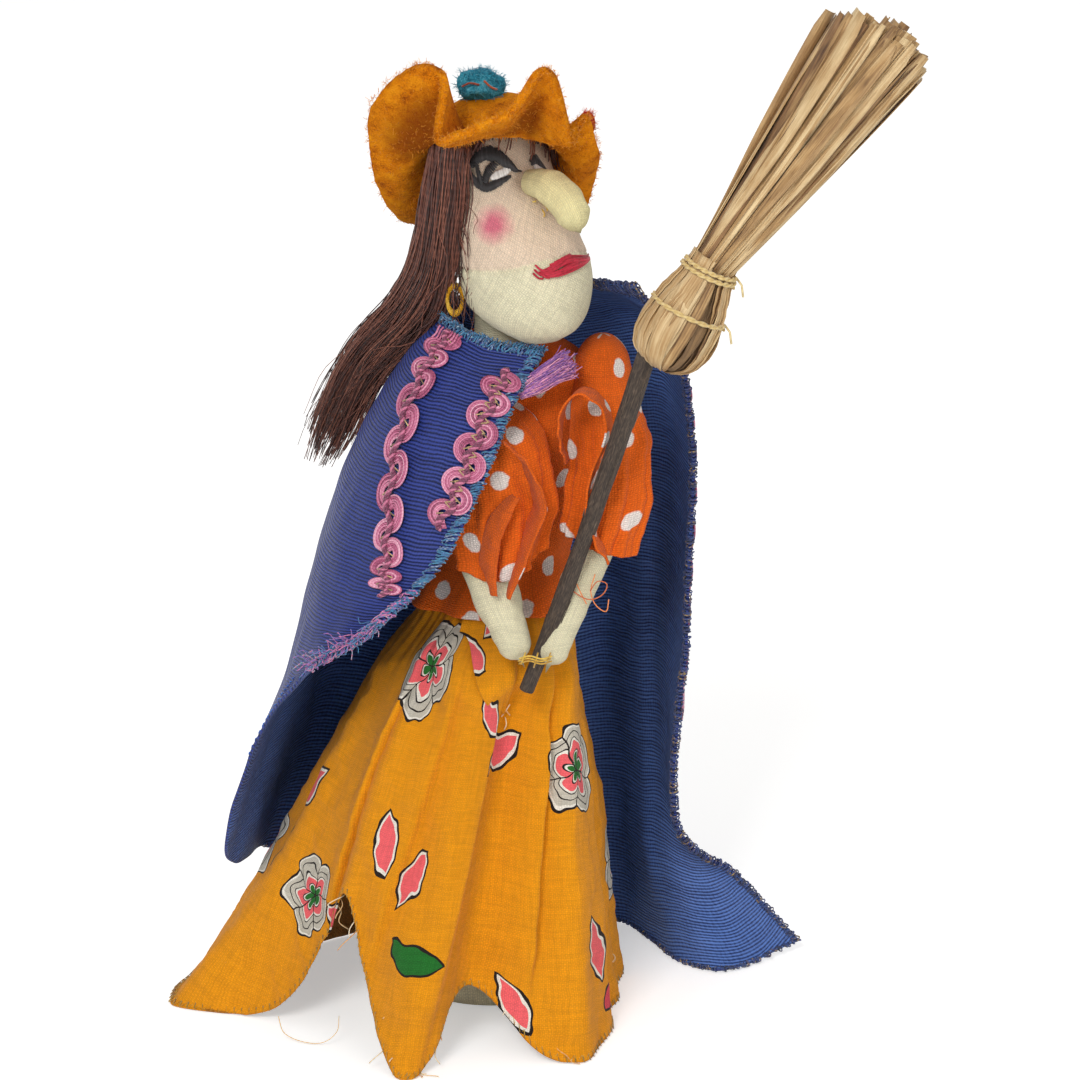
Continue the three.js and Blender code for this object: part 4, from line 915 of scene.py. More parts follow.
yellowCotton = threadMaterial("Yellow sewing thread", ["#A87B16", "#DDB53A", "#F0D878"], roughness=0.5)
paleThread = threadMaterial("Loose cream and orange threads", ["#D98A2C", "#E8C890", "#F3E6CC"],
                            roughness=0.5)
makeSkirt()
print("skirt made")

# Cape: a sheet through nine columns from the collar to the hem

capeColumns = np.array([
    [[14, -17.5, 183.6], [7, -26.5, 174], [-2, -39, 154], [-13, -45, 134.7],
     [-30, -44.5, 118], [-38, -42.5, 112], [-45, -40, 107]],
    [[2, -15, 184.6], [-8, -26, 173.7], [-17, -35, 153], [-28, -38.5, 131.5],
     [-42, -36, 110], [-49, -31.5, 99], [-56, -26, 88]],
    [[-9.5, -8.5, 188.5], [-19, -12, 178], [-32, -14, 155], [-42.8, -15, 128],
     [-51.2, -14, 98], [-59, -14, 79], [-67, -14, 60]],
    [[-10.5, 2, 190], [-20, 5, 178], [-33, 8, 154], [-42.8, 9, 124],
     [-51.5, 2, 90], [-61, -3, 64], [-69.5, -7, 38.5]],
    [[-1.5, 9, 190.5], [-14, 19, 178], [-23, 28, 151], [-31, 34, 114],
     [-45, 27, 74], [-53, 21, 53], [-61, 14, 33]],
    [[7, 10.5, 191.5], [5, 22, 179], [3, 32, 151], [-2, 40, 108],
     [-8, 45, 58], [-11, 47, 29], [-14, 49, -0.5]],
    [[15, 8, 193], [26, 18, 181], [30, 28, 152], [30, 36, 106],
     [32, 38, 55], [33, 38, 27], [35, 37, -0.5]],
    [[25, 2, 196], [40, 9, 184], [46, 15, 153], [46, 18, 104],
     [46, 19, 52], [49, 14, 24], [60, 6.5, -0.5]],
    [[37, -6, 197.5], [48, -4, 180], [52.5, 0, 150], [51.3, 0, 100],
     [50, 1, 44], [65, 11, 27.5], [83, 21, 3]],
], float)
capeValues = {"ribPitch": 1.0, "weftPitch": 0.5, "folds": 8, "foldDepth": 2.2}


def capePoint(u, v):
    u, v = np.atleast_1d(u).astype(float), np.atleast_1d(v).astype(float)
    columns = np.stack([splineAt(column, v) for column in capeColumns])
    point = splineAt(columns, u)
    behind = smoothstep(u, 0.3, 0.45) * (1 - smoothstep(u, 0.8, 0.9))
    waves = np.cos(2 * np.pi * capeValues["folds"] * u)
    point[:, 1] += capeValues["foldDepth"] * behind * smoothstep(v, 0.1, 0.7) * waves
    return point


def capeNormal(u, v):
    nudge = 2e-3
    alongU = capePoint(np.minimum(1, u + nudge), v) - capePoint(np.maximum(0, u - nudge), v)
    alongV = capePoint(u, np.minimum(1, v + nudge)) - capePoint(u, np.maximum(0, v - nudge))
    return unit(np.cross(alongU, alongV))


def capeCloth(u, v):  # the cape's middle surface with its soft waves
    grid = capePoint(u, v)
    wave = 1.1 * ripple(grid * [1, 1, 0.35], 16, 4.0) * smoothstep(v, 0.15, 0.6)
    small = 0.35 * ripple(grid * [1, 1, 0.5], 6, 9.0) * smoothstep(v, 0.05, 0.4)
    grid = grid + capeNormal(u, v) * (wave + small)[:, None]
    grid[:, 2] = np.maximum(grid[:, 2], 0.6)
    return grid


def ribbedFaille(name, dark, light, roughness):
    # faille gives the eye fine cords about a millimetre apart, their crests painted light as a silky
    # highlight and the grooves between them painted dark as shade, over a streaked mottle
    material, tree = newMaterial(name, Roughness=roughness, Sheen_Weight=0.03, Sheen_Roughness=0.4,
                                 Specular_IOR_Level=0.3)
    uv = addNode(tree, "UVMap", uv_map="UVMap")
    moved = drifting(tree, uv, 0.09, 3, 2.2)
    split = addNode(tree, "SeparateXYZ", moved).node.outputs
    turned = addNode(tree, "Math", split[1], math.pi / capeValues["ribPitch"], operation="MULTIPLY")
    wave = addNode(tree, "Math", turned, operation="SINE")
    cord = addNode(tree, "Math", wave, operation="ABSOLUTE")
    crossing = addNode(tree, "Math", split[0], math.pi / capeValues["weftPitch"], operation="MULTIPLY")
    weft = addNode(tree, "Math", crossing, operation="SINE")
    dotted = addNode(tree, "Math", weft, 0.1, cord, operation="MULTIPLY_ADD")
    fine = patterned(tree, moved, (3.4, 0.9, 1), 1.0, 3)
    streak = patterned(tree, moved, (0.03, 0.9, 1), 1.0, 4)
    mottled = addNode(tree, "Math", fine, streak, operation="ADD")
    spread = addNode(tree, "MapRange", mottled, 0.75, 1.3, -0.3, 0.3)
    # painted light: each cord's crest takes the light tone and its groove the dark tone, as painted highlight
    # and painted shade, mixed with the real mottle
    share = addNode(tree, "Math", dotted, spread, operation="ADD", use_clamp=True)
    mottleAndPaintedRibShading = addNode(tree, "Mix", share, dark, light, data_type="RGBA")
    lift = addNode(tree, "Math", fine, 0.3, cord, operation="MULTIPLY_ADD")
    linkSurface(tree, mottleAndPaintedRibShading, lift, 0.3)
    return material


failleOutside = ribbedFaille("Violet blue faille, ribbed, right side", "#12193F", "#30408C", 0.5)
failleInside = ribbedFaille("Navy faille, ribbed, wrong side", "#1A2858", "#5476BC", 0.55)


def overlock(name, places, depth, inward, material, seed, pitch, loose):
    # overlock stitches over a raw edge: each thread loops from the outer face over the edge to the inner face
    picks = random.Random(seed)
    fine = splineAt(places, np.linspace(0, 1, 400))
    points = capePoint(*fine.T)
    run = runAlong(points)
    routes = []
    for s in np.arange(0.3, run[-1], pitch):
        u, v = (np.interp(s + picks.uniform(-0.3, 0.3), run, fine[:, k]) for k in range(2))
        edge, normal = capeCloth(np.array([u]), np.array([v]))[0], capeNormal(np.array([u]), np.array([v]))[0]
        ahead = capePoint(np.array([u]), np.array([v]))[0]
        inner = capePoint(np.array([u + inward[0]]), np.array([v + inward[1]]))[0]
        into = (inner - ahead) / np.linalg.norm(inner - ahead)
        along = np.cross(into, normal)
        reach = depth * picks.uniform(0.75, 1.2)
        turn = np.linspace(0.1, 2 * math.pi - 0.1, 12)[:, None]
        lean = along * picks.uniform(-0.9, 0.9)
        inwards = into * (reach / 2 + (reach / 2) * np.cos(turn) - 0.4)
        loop = edge + inwards + normal * np.sin(turn) + lean * np.sin(turn / 2)
        loop = loop + loose * np.stack([ripple(loop, 1.3, picks.uniform(0, 50)) for _ in range(3)], axis=1)
        routes.append(loop)
    return threads(name, routes, 0.2, material, "doll", sides=1, seed=seed)


blueOverlock = threadMaterial("Teal and blue overlock thread",
                              ["#182848", "#2F6B98", "#3F86A8", "#33508A", "#A9BCCB"])
mixedOverlock = threadMaterial("Blue, teal and rose overlock thread",
                               ["#243C7A", "#2F7FA8", "#8A5AA8", "#D87AA0", "#6FA8B8"])
navyOverlock = threadMaterial("Navy overlock thread with gold flecks",
                              ["#0F1734", "#1B2856", "#26407A", "#24306A", "#A88C4E"])
brightBlue = threadMaterial("Bright blue sewing thread", ["#1C4FA8", "#3C7CD8"], roughness=0.45)


capeEdges = {  # line in shares of the cape, stitch depth, way inward, thread, seed, pitch, looseness
    "frontEdgeOverlock": ([[0, 0], [0, 0.2], [0, 0.4], [0, 0.55]], 3.2, (0.05, 0), blueOverlock, 41, 0.42,
                          0.5),
    "frontTipOverlock": ([[0, 0.55], [0, 0.7], [0, 0.85], [0, 1]], 3.6, (0.05, 0), mixedOverlock, 42, 0.3,
                         0.9),
    "collarOverlock": ([[0, 0], [0.12, 0], [0.3, 0], [0.5, 0], [0.62, 0]], 2.6, (0, 0.05), blueOverlock,
                       43, 0.4, 0.55),
    "shoulderOverlock": ([[0.62, 0], [0.75, 0], [0.88, 0], [1, 0]], 4.2, (0, 0.05), navyOverlock, 44, 0.4,
                         0.6),
    "leftEdgeOverlock": ([[1, 0], [1, 0.25], [1, 0.5], [1, 0.75], [1, 1]], 1.6, (-0.03, 0), navyOverlock,
                         45, 0.7, 0.5),
    "hemOverlockBlue": ([[0.5, 1], [0.62, 1], [0.75, 1], [0.88, 1], [1, 1]], 1.4, (0, -0.03), navyOverlock,
                        46, 0.7, 0.2),
}


def makeCape():
    u, v = sheetGrid(261, 141)
    grid = capeCloth(u.ravel(), v.ravel()).reshape(*u.shape, 3)
    cape = surface("capeCloth", grid, clothUv(grid), [failleOutside, failleInside], "doll", thickness=0.7,
                   backMaterial=True)
    standFor("cape")
    trims = [overlock(name, *values) for name, values in capeEdges.items()]
    picks = random.Random(6)
    wisps, collar = [], []
    for _ in range(90):  # the frayed tuft where the cape's front edge turns under
        v = picks.uniform(0.62, 1.0)
        start = capeCloth(np.array([0.0]), np.array([v]))[0]
        steps = np.linspace(0, 1, 9)[:, None]
        drift = np.array([picks.uniform(-6, 2), picks.uniform(-4, -0.5), picks.uniform(-2.5, 3.5)])
        curl = 0.9 * np.sin(steps * picks.uniform(3, 8) + picks.uniform(0, 6)) * np.array([0.6, 0.2, 1])
        wisps.append(start + drift * steps + curl * steps)
    for _ in range(420):  # the collar's raw edge, frayed and leaning away from the chin
        u = picks.uniform(0.0, 0.62)
        start = capeCloth(np.array([u]), np.array([0.0]))[0]
        steps = np.linspace(0, 1, 7)[:, None]
        inward = unit((neck - start) * [1, 1, 0]) * picks.uniform(-2.6, -1.0)
        curl = 0.4 * np.sin(steps * picks.uniform(3, 9) + picks.uniform(0, 6)) * np.array([0.8, 0.4, 0.6])
        collar.append(start + (inward + [0, 0, picks.uniform(0.6, 2.2)]) * steps + curl * steps)
    trims.append(threads("collarFrays", collar, 0.16, blueOverlock, "doll", sides=1, seed=16))
    trims.append(threads("edgeFrays", wisps, 0.13, mixedOverlock, "doll", sides=1, seed=14))
    rows = []
    for places, count in (([[0.2, 0.98], [0.19, 0.9], [0.175, 0.82], [0.165, 0.76]], 14),
                          ([[0.03, 0.93], [0.1, 0.945], [0.2, 0.95], [0.33, 0.95]], 26)):
        line = splineAt(places, np.linspace(0, 1, count * 2))
        for k in range(count):
            pair = line[2 * k:2 * k + 2]
            share = np.linspace(0, 1, 5)
            on = np.outer(1 - share, pair[0]) + np.outer(share, pair[1])
            rows.append(capeCloth(*on.T) + capeNormal(*on.T) * (0.35 + 0.35 * np.sin(np.pi * share))[:, None])
    trims.append(threads("blueStitches", rows, 0.16, brightBlue, "doll", sides=1, seed=15))


makeCape()
print("cape made")

# Hat: a thick felt disc gathered on a band, its brim in deep waves; the rim's table is bearing, reach, height

hatMiddle = np.array([2, -3, 0.0])
hatValues = {"crown": 246, "bandRadius": 17.4, "bandHeight": 233, "tilt": 8.5, "curl": 5,
             "crownShare": 0.36, "fuzz": 5200, "frontCurl": 0.6}
hatRim = [
    [-176, 31, 229], [-164, 33, 241], [-151, 34, 250], [-137, 33, 257.5], [-123, 31.5, 261],
    [-114.5, 30.5, 257.5], [-109.5, 42, 246], [-103, 43.5, 247.6], [-94, 43, 250.8], [-86, 42, 253],
    [-80, 41.5, 258], [-75, 41, 262.7], [-69, 39.5, 261.5], [-64.5, 38, 253], [-58.5, 35.5, 243],
    [-51, 32, 245.5], [-43, 31.5, 246.5], [-32, 29.5, 238], [-10, 25, 228.5], [14, 23.5, 217],
    [55, 28, 208], [95, 31, 205], [130, 30, 206], [158, 29, 214],
]


def hatPoint(bearing, v):
    turn = np.radians(bearing)
    out = outward(turn)
    band = hatMiddle + out * hatValues["bandRadius"]
    band[:, 2] = hatValues["bandHeight"] - hatValues["tilt"] * out[:, 1]
    turnDown = np.pi / 2 * np.minimum(1, v / hatValues["crownShare"])
    crown = hatMiddle + (band - hatMiddle) * np.sin(turnDown)[:, None]
    crown[:, 2] = band[:, 2] + (hatValues["crown"] - band[:, 2]) * np.cos(turnDown)
    share = np.maximum(0, (v - hatValues["crownShare"]) / (1 - hatValues["crownShare"]))
    reach, height = edgeAt(hatRim, bearing)
    edge = hatMiddle + out * reach[:, None]
    edge[:, 2] = height
    brim = band + (edge - band) * share[:, None]
    front = smoothstep(bearing, -122, -106) * (1 - smoothstep(bearing, -52, -38))
    curl = hatValues["curl"] + (hatValues["frontCurl"] - hatValues["curl"]) * front
    brim[:, 2] -= curl * np.sin(np.pi * share)
    return np.where((v <= hatValues["crownShare"])[:, None], crown, brim)


def feltMaterial(name, deep, dark, light, bright):
    # thick wool felt gives the eye matted fibres, a mottle, and a soft fuzz that catches the light; a shade
    # attribute below 1 paints shade by mixing toward the deep tone
    material, tree = newMaterial(name, Roughness=1.0, Sheen_Weight=0.15, Sheen_Roughness=0.6,
                                 Specular_IOR_Level=0.1, Sheen_Tint=colour(bright))
    place = addNode(tree, "TexCoord", out="Object")
    cloud = addNode(tree, "TexNoise", Vector=place, Scale=230, Detail=5, Roughness=0.65)
    fibre = addNode(tree, "TexNoise", Vector=place, Scale=1700, Detail=4, Distortion=2.0)
    both = addNode(tree, "Math", cloud, fibre, operation="ADD")
    share = addNode(tree, "MapRange", both, 0.7, 1.3)
    ramp = addNode(tree, "ValToRGB", share, stops=[(0, deep), (0.25, dark), (0.55, light), (1, bright)])
    # painted shade: where the shade attribute is below 1 the colour is mixed toward the deep tone
    paintedHollowShade = addNode(tree, "Attribute", attribute_name="shade", out="Fac")
    withPaintedShade = addNode(tree, "Mix", paintedHollowShade, deep, ramp, data_type="RGBA")
    lift = addNode(tree, "Math", cloud, 1.5, fibre, operation="MULTIPLY_ADD")
    linkSurface(tree, withPaintedShade, lift, 0.6)
    return material


mustardFelt = feltMaterial("Mustard wool felt, thick and fuzzy", "#7A2E04", "#C4660A", "#E4860C", "#F8A61E")
tealFelt = feltMaterial("Teal wool felt", "#0E3442", "#1F6075", "#2F8CA4", "#6FBFD0")
redFelt = feltMaterial("Red wool felt", "#5E120C", "#A82A1C", "#C93A24", "#E0604A")
mustardFibre = threadMaterial("Mustard wool fibres", ["#B2600A", "#D9840D", "#F0A830"], roughness=0.9,
                              sheen=0.05)
tealFibre = threadMaterial("Teal wool fibres", ["#1B5A70", "#2C85A0", "#5FB0C4"], roughness=0.9, sheen=0.05)
redFibre = threadMaterial("Red wool fibres", ["#8E1F14", "#C93A24", "#E57058"], roughness=0.9, sheen=0.05)
brownThread = threadMaterial("Rust sewing thread", ["#6E2408", "#9A3A10", "#B8521C"], roughness=0.6)


def fuzz(name, spots, normals, length, material, body, seed):  # short bent fibres that stand off felt
    picks = random.Random(seed)
    routes = []
    for spot, normal in zip(spots, normals):
        lean = np.array([picks.gauss(0, 1) for _ in range(3)])
        bend = np.array([picks.gauss(0, 0.6) for _ in range(3)])
        way = unit(normal * 0.9 + lean * 0.9) * length * picks.uniform(0.5, 1.3)
        steps = np.linspace(0, 1, 4)[:, None]
        routes.append(spot + way * steps + bend * length * 0.5 * steps ** 2)
    return threads(name, routes, 0.055, material, body, sides=1, seed=seed)


def makeHat():
    columns, rows = 289, 71
    u, v = sheetGrid(columns, rows)
    flatV, bearing = v.ravel(), stationBearing(hatRim, 1 - u.ravel())
    grid = hatPoint(bearing, flatV)
    lump = 0.5 * ripple(grid, 7, 1.0) + 0.3 * ripple(grid, 2.6, 6.0) + 0.14 * ripple(grid, 1.1, 9.0)
    grid[:, 2] += lump * smoothstep(flatV, 0.0, 0.15)
    # painted shade in the brim's cups: the felt is darkened toward its deep tone where the brim dips below
    # its rim
    height = edgeAt(hatRim, bearing)[1]
    paintedCupShade = smoothstep(height - grid[:, 2], 3.0, 13.0) * smoothstep(flatV, 0.36, 0.5)
    grid = grid.reshape(*u.shape, 3)
    grid[:, -1] = grid[:, 0]
    hat = surface("hatFelt", grid, clothUv(grid), [mustardFelt], "head", closed=True, thickness=hatFelt,
                  colours=1 - 0.8 * paintedCupShade)
    standFor("felt_hat")
    picks = random.Random(19)
    alongU, alongV = np.gradient(grid, axis=1), np.gradient(grid, axis=0)
    normal = unit(np.cross(alongU, alongV))
    spots, normals = [], []
    for k in range(hatValues["fuzz"]):
        onRim = k % 5 == 0
        row = rows - 1 if onRim else picks.randrange(12, rows)
        column = picks.randrange(0, columns - 1)
        side = picks.choice([-1, 1])
        edgeWay = unit(grid[-1, column] - grid[-5, column])
        if onRim:
            turn = picks.uniform(-1.5, 1.5)
            way = edgeWay * math.cos(turn) + normal[row, column] * math.sin(turn)
            spots.append(grid[row, column] + way * 0.9)
            normals.append(way)
        else:
            spots.append(grid[row, column] + normal[row, column] * side * (hatFelt / 2 - 0.1))
            normals.append(normal[row, column] * side)
    fibres = fuzz("hatFibres", np.array(spots), np.array(normals), 0.85, mustardFibre, "head", 20)
    seams = []
    for k in range(26):  # running stitches that gather the brim on its band and hold the side lobe
        u = 0.30 + 0.012 * k if k < 14 else 0.58 + 0.01 * k
        v = 0.42 + 0.015 * math.sin(2 * k) if k < 14 else 0.62 + 0.02 * (k - 14)
        bearings = stationBearing(hatRim, np.full(5, 1 - u) + np.linspace(0, 0.006, 5))
        on = hatPoint(bearings, np.full(5, v))
        arch = np.outer(0.5 * np.sin(np.linspace(0, np.pi, 5)), [0, 0, 1])
        seams.append(on + np.array([0, -0.25, hatFelt / 2 + 0.1]) + arch)
    seam = threads("hatStitches", seams, 0.26, brownThread, "head", sides=2, seed=21)


makeHat()


def lumpyFelt(name, node, centre, half, material, fibre, count, segments, lump, turn, seed):
    bm = bmesh.new()
    bmesh.ops.create_uvsphere(bm, u_segments=segments, v_segments=segments // 2, radius=1)
    shade = bm.verts.layers.float.new("shade")
    places = np.array([vert.co for vert in bm.verts])
    c, s = math.cos(turn), math.sin(turn)
    spread = places * half
    x, y, z = spread.T
    spread = np.stack([x * c - y * s, x * s + y * c, z], axis=1)
    bumps = lump * min(half) * (ripple(spread + centre, 3.0) + 0.5 * ripple(spread + centre, 1.2, 4.0))
    spread = spread + unit(spread) * bumps[:, None]
    for vert, place in zip(bm.verts, spread + centre):
        vert.co = place * mm
        vert[shade] = 1.0
    piece = newObject(name, bm, [material], "head")
    picks = random.Random(seed)
    chosen = [picks.randrange(len(spread)) for _ in range(count)]
    normals = unit(spread / np.array(half))[chosen]
    fibres = fuzz(name + "Fibres", (spread + centre)[chosen], normals, 1.2, fibre, "head", seed)
    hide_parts(node)
    return piece


puff = lumpyFelt("hatPuff", "hat_puff", [-2, -5, 249.7], [6.2, 4.96, 3.9], tealFelt, tealFibre,
                 700, 48, 0.3, 0, 23)
scrapSeat = hatPoint(np.array([-38.0]), np.array([0.9]))[0]
lumpyFelt("hatScrap", "hat_scrap", scrapSeat + [0, 0, 4], [2.8, 1.28, 3.4], redFelt, redFibre,
          160, 24, 0.2, 0.7, 24)
puffStitch = [[[-6.5, -9.4, 250.5], [-4.5, -10.2, 251.6], [-2.2, -10.4, 251.2]],
              [[-1.0, -10.2, 252.2], [0.6, -10, 250.6], [2.2, -9, 249.6]]]
made = threads("puffStitches", [evenSpline(line, 12) for line in puffStitch], 0.28, brownThread, "head",
               sides=2)
print("hat made")

# Hair: reddish brown yarn strands, a fringe over the brow and a long lock over the cape's shoulder

hairYarn = threadMaterial("Reddish brown hair yarn", ["#200F0B", "#48241B", "#6B3B2C", "#8F5A46"],
                          roughness=0.5, sheen=0.04, twist=2.0)
hairValues = {"strands": 900, "radius": 0.17, "halfDepth": 3.4,
              "width": [5.2, 6, 6.7, 7.4, 7.2, 6.6, 6.4, 4.6]}
hairRoute = np.array([[-13.5, -11, 53], [-15.8, -10.3, 36], [-17.9, -7, 21], [-23.5, 1, 6],
                      [-36.3, 10.5, -12], [-44.5, 16.5, -30], [-50.3, 18.5, -45]]) + neck
lockFront = unit(np.array([-0.45, -0.9, 0]))


def makeLock():
    picks = random.Random(11)
    steps = 34
    middle, share = evenSpline(hairRoute, steps), np.linspace(0, 1, steps)
    along = unit(np.gradient(middle, axis=0))
    across = unit(np.cross(along, lockFront))
    deep = unit(np.cross(across, along))
    width = smoothValue(hairValues["width"], share)
    routes, radii, tapers = [], [], []
    for strand in range(hairValues["strands"]):
        angle, reach = picks.uniform(0, 2 * math.pi), math.sqrt(picks.random())
        wide, thick = reach * math.cos(angle), reach * math.sin(angle)
        tuft = round(wide * 4.5)
        wave = 0.09 * np.sin(share * 7 + tuft * 1.7) * share
        wave = wave + 0.03 * np.sin(share * picks.uniform(9, 20) + strand)
        gather = (tuft / 4.5 - wide) * 0.45 * share ** 2
        loose = 0.2 * picks.gauss(0, 1) * share ** 2 + 0.05 * np.sin(share * picks.uniform(14, 34) + strand)
        end = picks.uniform(0.88, 1.0) if picks.random() < 0.75 else picks.uniform(0.62, 0.9)
        end -= 0.05 * (1 + math.sin(tuft * 2.3))
        offset = across * (width * (wide + wave + gather + loose))[:, None]
        offset = offset + deep * (hairValues["halfDepth"] * (thick + wave))[:, None]
        if strand % 16 == 0:  # fly-away strands
            bulge = np.sin(np.pi * share * picks.uniform(0.9, 1.5))
            bulge = bulge + 0.25 * np.sin(share * picks.uniform(15, 30))
            offset = offset - across * (width * picks.uniform(0.15, 1.0) * bulge)[:, None]
        strandRoute = (middle + offset)[: max(8, int(steps * end))]
        routes.append(evenSpline(strandRoute, 26))
        radii.append(hairValues["radius"] * picks.uniform(0.75, 1.3))
        tapers.append(np.linspace(1, 0.5, 26))
    for wisp in range(46):  # crimped wisps that have sprung out of the lock's outer side
        start = picks.uniform(0.12, 0.62)
        at = min(steps - 2, int(start * steps))
        t = np.linspace(0, 1, 26)
        out = -across[at] * picks.uniform(3, 9)
        fall = np.array([picks.uniform(-3, 1), picks.uniform(-2, 1), -picks.uniform(5, 16)])
        turns, size = picks.uniform(2, 9), picks.uniform(0.3, 1.1)
        sways = [np.sin(turns * t + wisp), np.cos(turns * 0.7 * t), 0.5 * np.sin(turns * 1.6 * t)]
        crimp = np.stack(sways, axis=1)
        origin = middle[at] - across[at] * width[at] * 0.8
        course = np.outer(np.sin(np.pi * t * 0.6), out)
        routes.append(origin + course + np.outer(t, fall) + crimp * size * t[:, None])
        radii.append(hairValues["radius"] * 0.7)
        tapers.append(np.linspace(1, 0.6, 26))
    lock = threads("hairLock", routes, radii, hairYarn, None, tapers, sides=1, seed=5)
    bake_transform(lock)
    standFor("hair_lock")


makeLock()


def makeFringe():
    picks = random.Random(4)
    routes, radii = [], []
    for strand in range(620):
        bearing = -105 + 201 * picks.random()
        off = bearing + 25
        fall = 11.5 * (-off / 60) ** 1.6 if off < 0 else 5 * (off / 70) ** 2
        stray = picks.random() < 0.06
        start, low = 57.5, 55.2 - fall - picks.uniform(0, 1.2) - (picks.uniform(1, 5) if stray else 0)
        drift = picks.uniform(-9, 9) - 9
        steps = np.linspace(0, 1, 11)
        lift = gap + 0.25 + 0.9 * picks.random() + 0.5 * np.sin(math.pi * steps) + (0.9 if stray else 0)
        routes.append(headPoint(bearing + drift * steps, start + (low - start) * steps ** 0.9, lift))
        radii.append(0.17 * picks.uniform(0.8, 1.3))
    fringe = threads("hairFringe", routes, radii, hairYarn, "head", sides=1, seed=6)
    standFor("hair_fringe")


makeFringe()
print("hair made")

# Face embroidery: satin stitches laid side by side over the calico, given as bearing and height on the face

blackCotton = threadMaterial("Black embroidery cotton", ["#0B090A", "#1B1718", "#343033"], roughness=0.6)
redCotton = threadMaterial("Crimson embroidery cotton", ["#7A0418", "#AE0E2C", "#C4203E"], roughness=0.6,
                           sheen=0.05)
whiteCotton = threadMaterial("White embroidery cotton", ["#CFCBC5", "#F6F3EE"], roughness=0.6)


def faceStitches(name, strokes, radius, material, lift):
    routes = []
    for stroke in strokes:
        arch = gap + lift * np.sin(np.linspace(0.25, math.pi - 0.25, 10))
        routes.append(headPoint(*splineAt(stroke, np.linspace(0, 1, 10)).T, arch))
    made = threads(name, routes, radius, material, "head", sides=2)
    return made


def satin(middleLine, halfWidth, count, slant, seed):  # strokes laid across a line
    picks = random.Random(seed)
    strokes = []
    for k, (bearing, height) in enumerate(splineAt(middleLine, np.linspace(0, 1, count))):
        half = halfWidth * math.sqrt(math.sin(math.pi * (k + 1.2) / (count + 1.4)))
        half *= picks.uniform(0.85, 1.15)
        strokes.append([(bearing - slant, height + half), (bearing, height),
                        (bearing + slant, height - half)])
    return strokes


lips = {"upper": [(-25, 22.6), (-12, 23.7), (2, 24.9), (14, 24.7), (30, 23.8), (46, 23.0)],
        "lower": [(-23, 22.1), (-10, 22.3), (4, 23.0), (18, 23.2), (32, 22.9), (46, 22.6)], "stitches": 84}


def alongLips():  # long stitches laid roughly along each lip, some of them slanting over the others
    picks = random.Random(12)
    strokes = []
    for k in range(lips["stitches"]):
        line = lips["upper" if k % 5 < 3 else "lower"]
        first, last = sorted((picks.uniform(0, 0.75), picks.uniform(0.2, 1)))
        if last - first < 0.25:
            first, last = 0.0, 0.55
        shift = picks.uniform(-0.75, 0.75)
        share = np.linspace(first, last, 4)
        fine = splineAt(line, share)
        slant = np.linspace(-0.35, 0.35, 4) * picks.uniform(-1, 1)
        fine[:, 1] += shift * np.sin(np.pi * share * 0.9 + 0.15) + slant
        strokes.append(fine)
    for bearing, height in ((-25, 22.6), (-23, 23.6), (-21, 21.9), (-27, 21.8)):  # short ticks at the corner
        strokes.append([(bearing - 3, height + 0.9), (bearing, height), (bearing + 4, height - 0.4)])
    return strokes


mouth = faceStitches("mouthStitches", alongLips(), 0.27, redCotton, 0.75)
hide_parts("mouth")
brow = [(-66.5, 46.7), (-55.5, 49.2), (-38, 49.5), (-24, 47.5), (-15, 45.7)]
lowerLid = [(-66.5, 45), (-60, 42.7), (-49.5, 41.7), (-37.5, 42.7), (-23.5, 44.2)]
eyes = {  # bands of satin stitch: line, half width, count, slant, seed
    "right": {
        "black": [(brow, 1.7, 60, 0.9, 2), (brow, 1.2, 24, 4.5, 13), (lowerLid, 1.0, 44, -0.6, 3),
                  ([(-60, 47.4), (-56, 44.8), (-54, 42.6)], 1.8, 16, 3.6, 7),
                  ([(-38, 47.5), (-46, 45.4), (-50, 43.2)], 0.8, 12, 2.4, 17)],
        "white": [([(-43, 43.9), (-37, 44.6), (-29, 45.4), (-23, 46)], 0.95, 22, 0.6, 4)],
    },
    "left": {
        "black": [([(3, 46.9), (9, 47.6), (15, 46.4), (22, 44.2)], 1.3, 28, 0.6, 2),
                  ([(6, 44.8), (13, 43.4), (21, 43.2)], 0.7, 18, 0.4, 8)],
        "white": [([(7, 45.8), (14, 44.8), (20, 44)], 0.9, 14, 0.3, 9)],
    },
}
for side, bands in eyes.items():
    dark, bright = (sum((satin(*band) for band in bands[tone]), []) for tone in ("black", "white"))
    eye = faceStitches(side + "EyeStitches", dark, 0.27, blackCotton, 0.6)
    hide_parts(side + "_eye")
    faceStitches(side + "EyeWhite", bright, 0.24, whiteCotton, 0.35)
noseRoot = [[(-5, 44.5), (-3, 43.2)], [(-7, 41), (-4.5, 40.6)], [(-6, 38), (-3, 38.2)],
            [(0, 34.4), (1, 36)], [(6, 35.4), (5, 37)], [(9, 40), (7, 40.4)]]
faceStitches("noseStitches", noseRoot, 0.2, yellowCotton, 0.9)
print("face stitched")

# Hoop of rolled mustard cloth beside the face

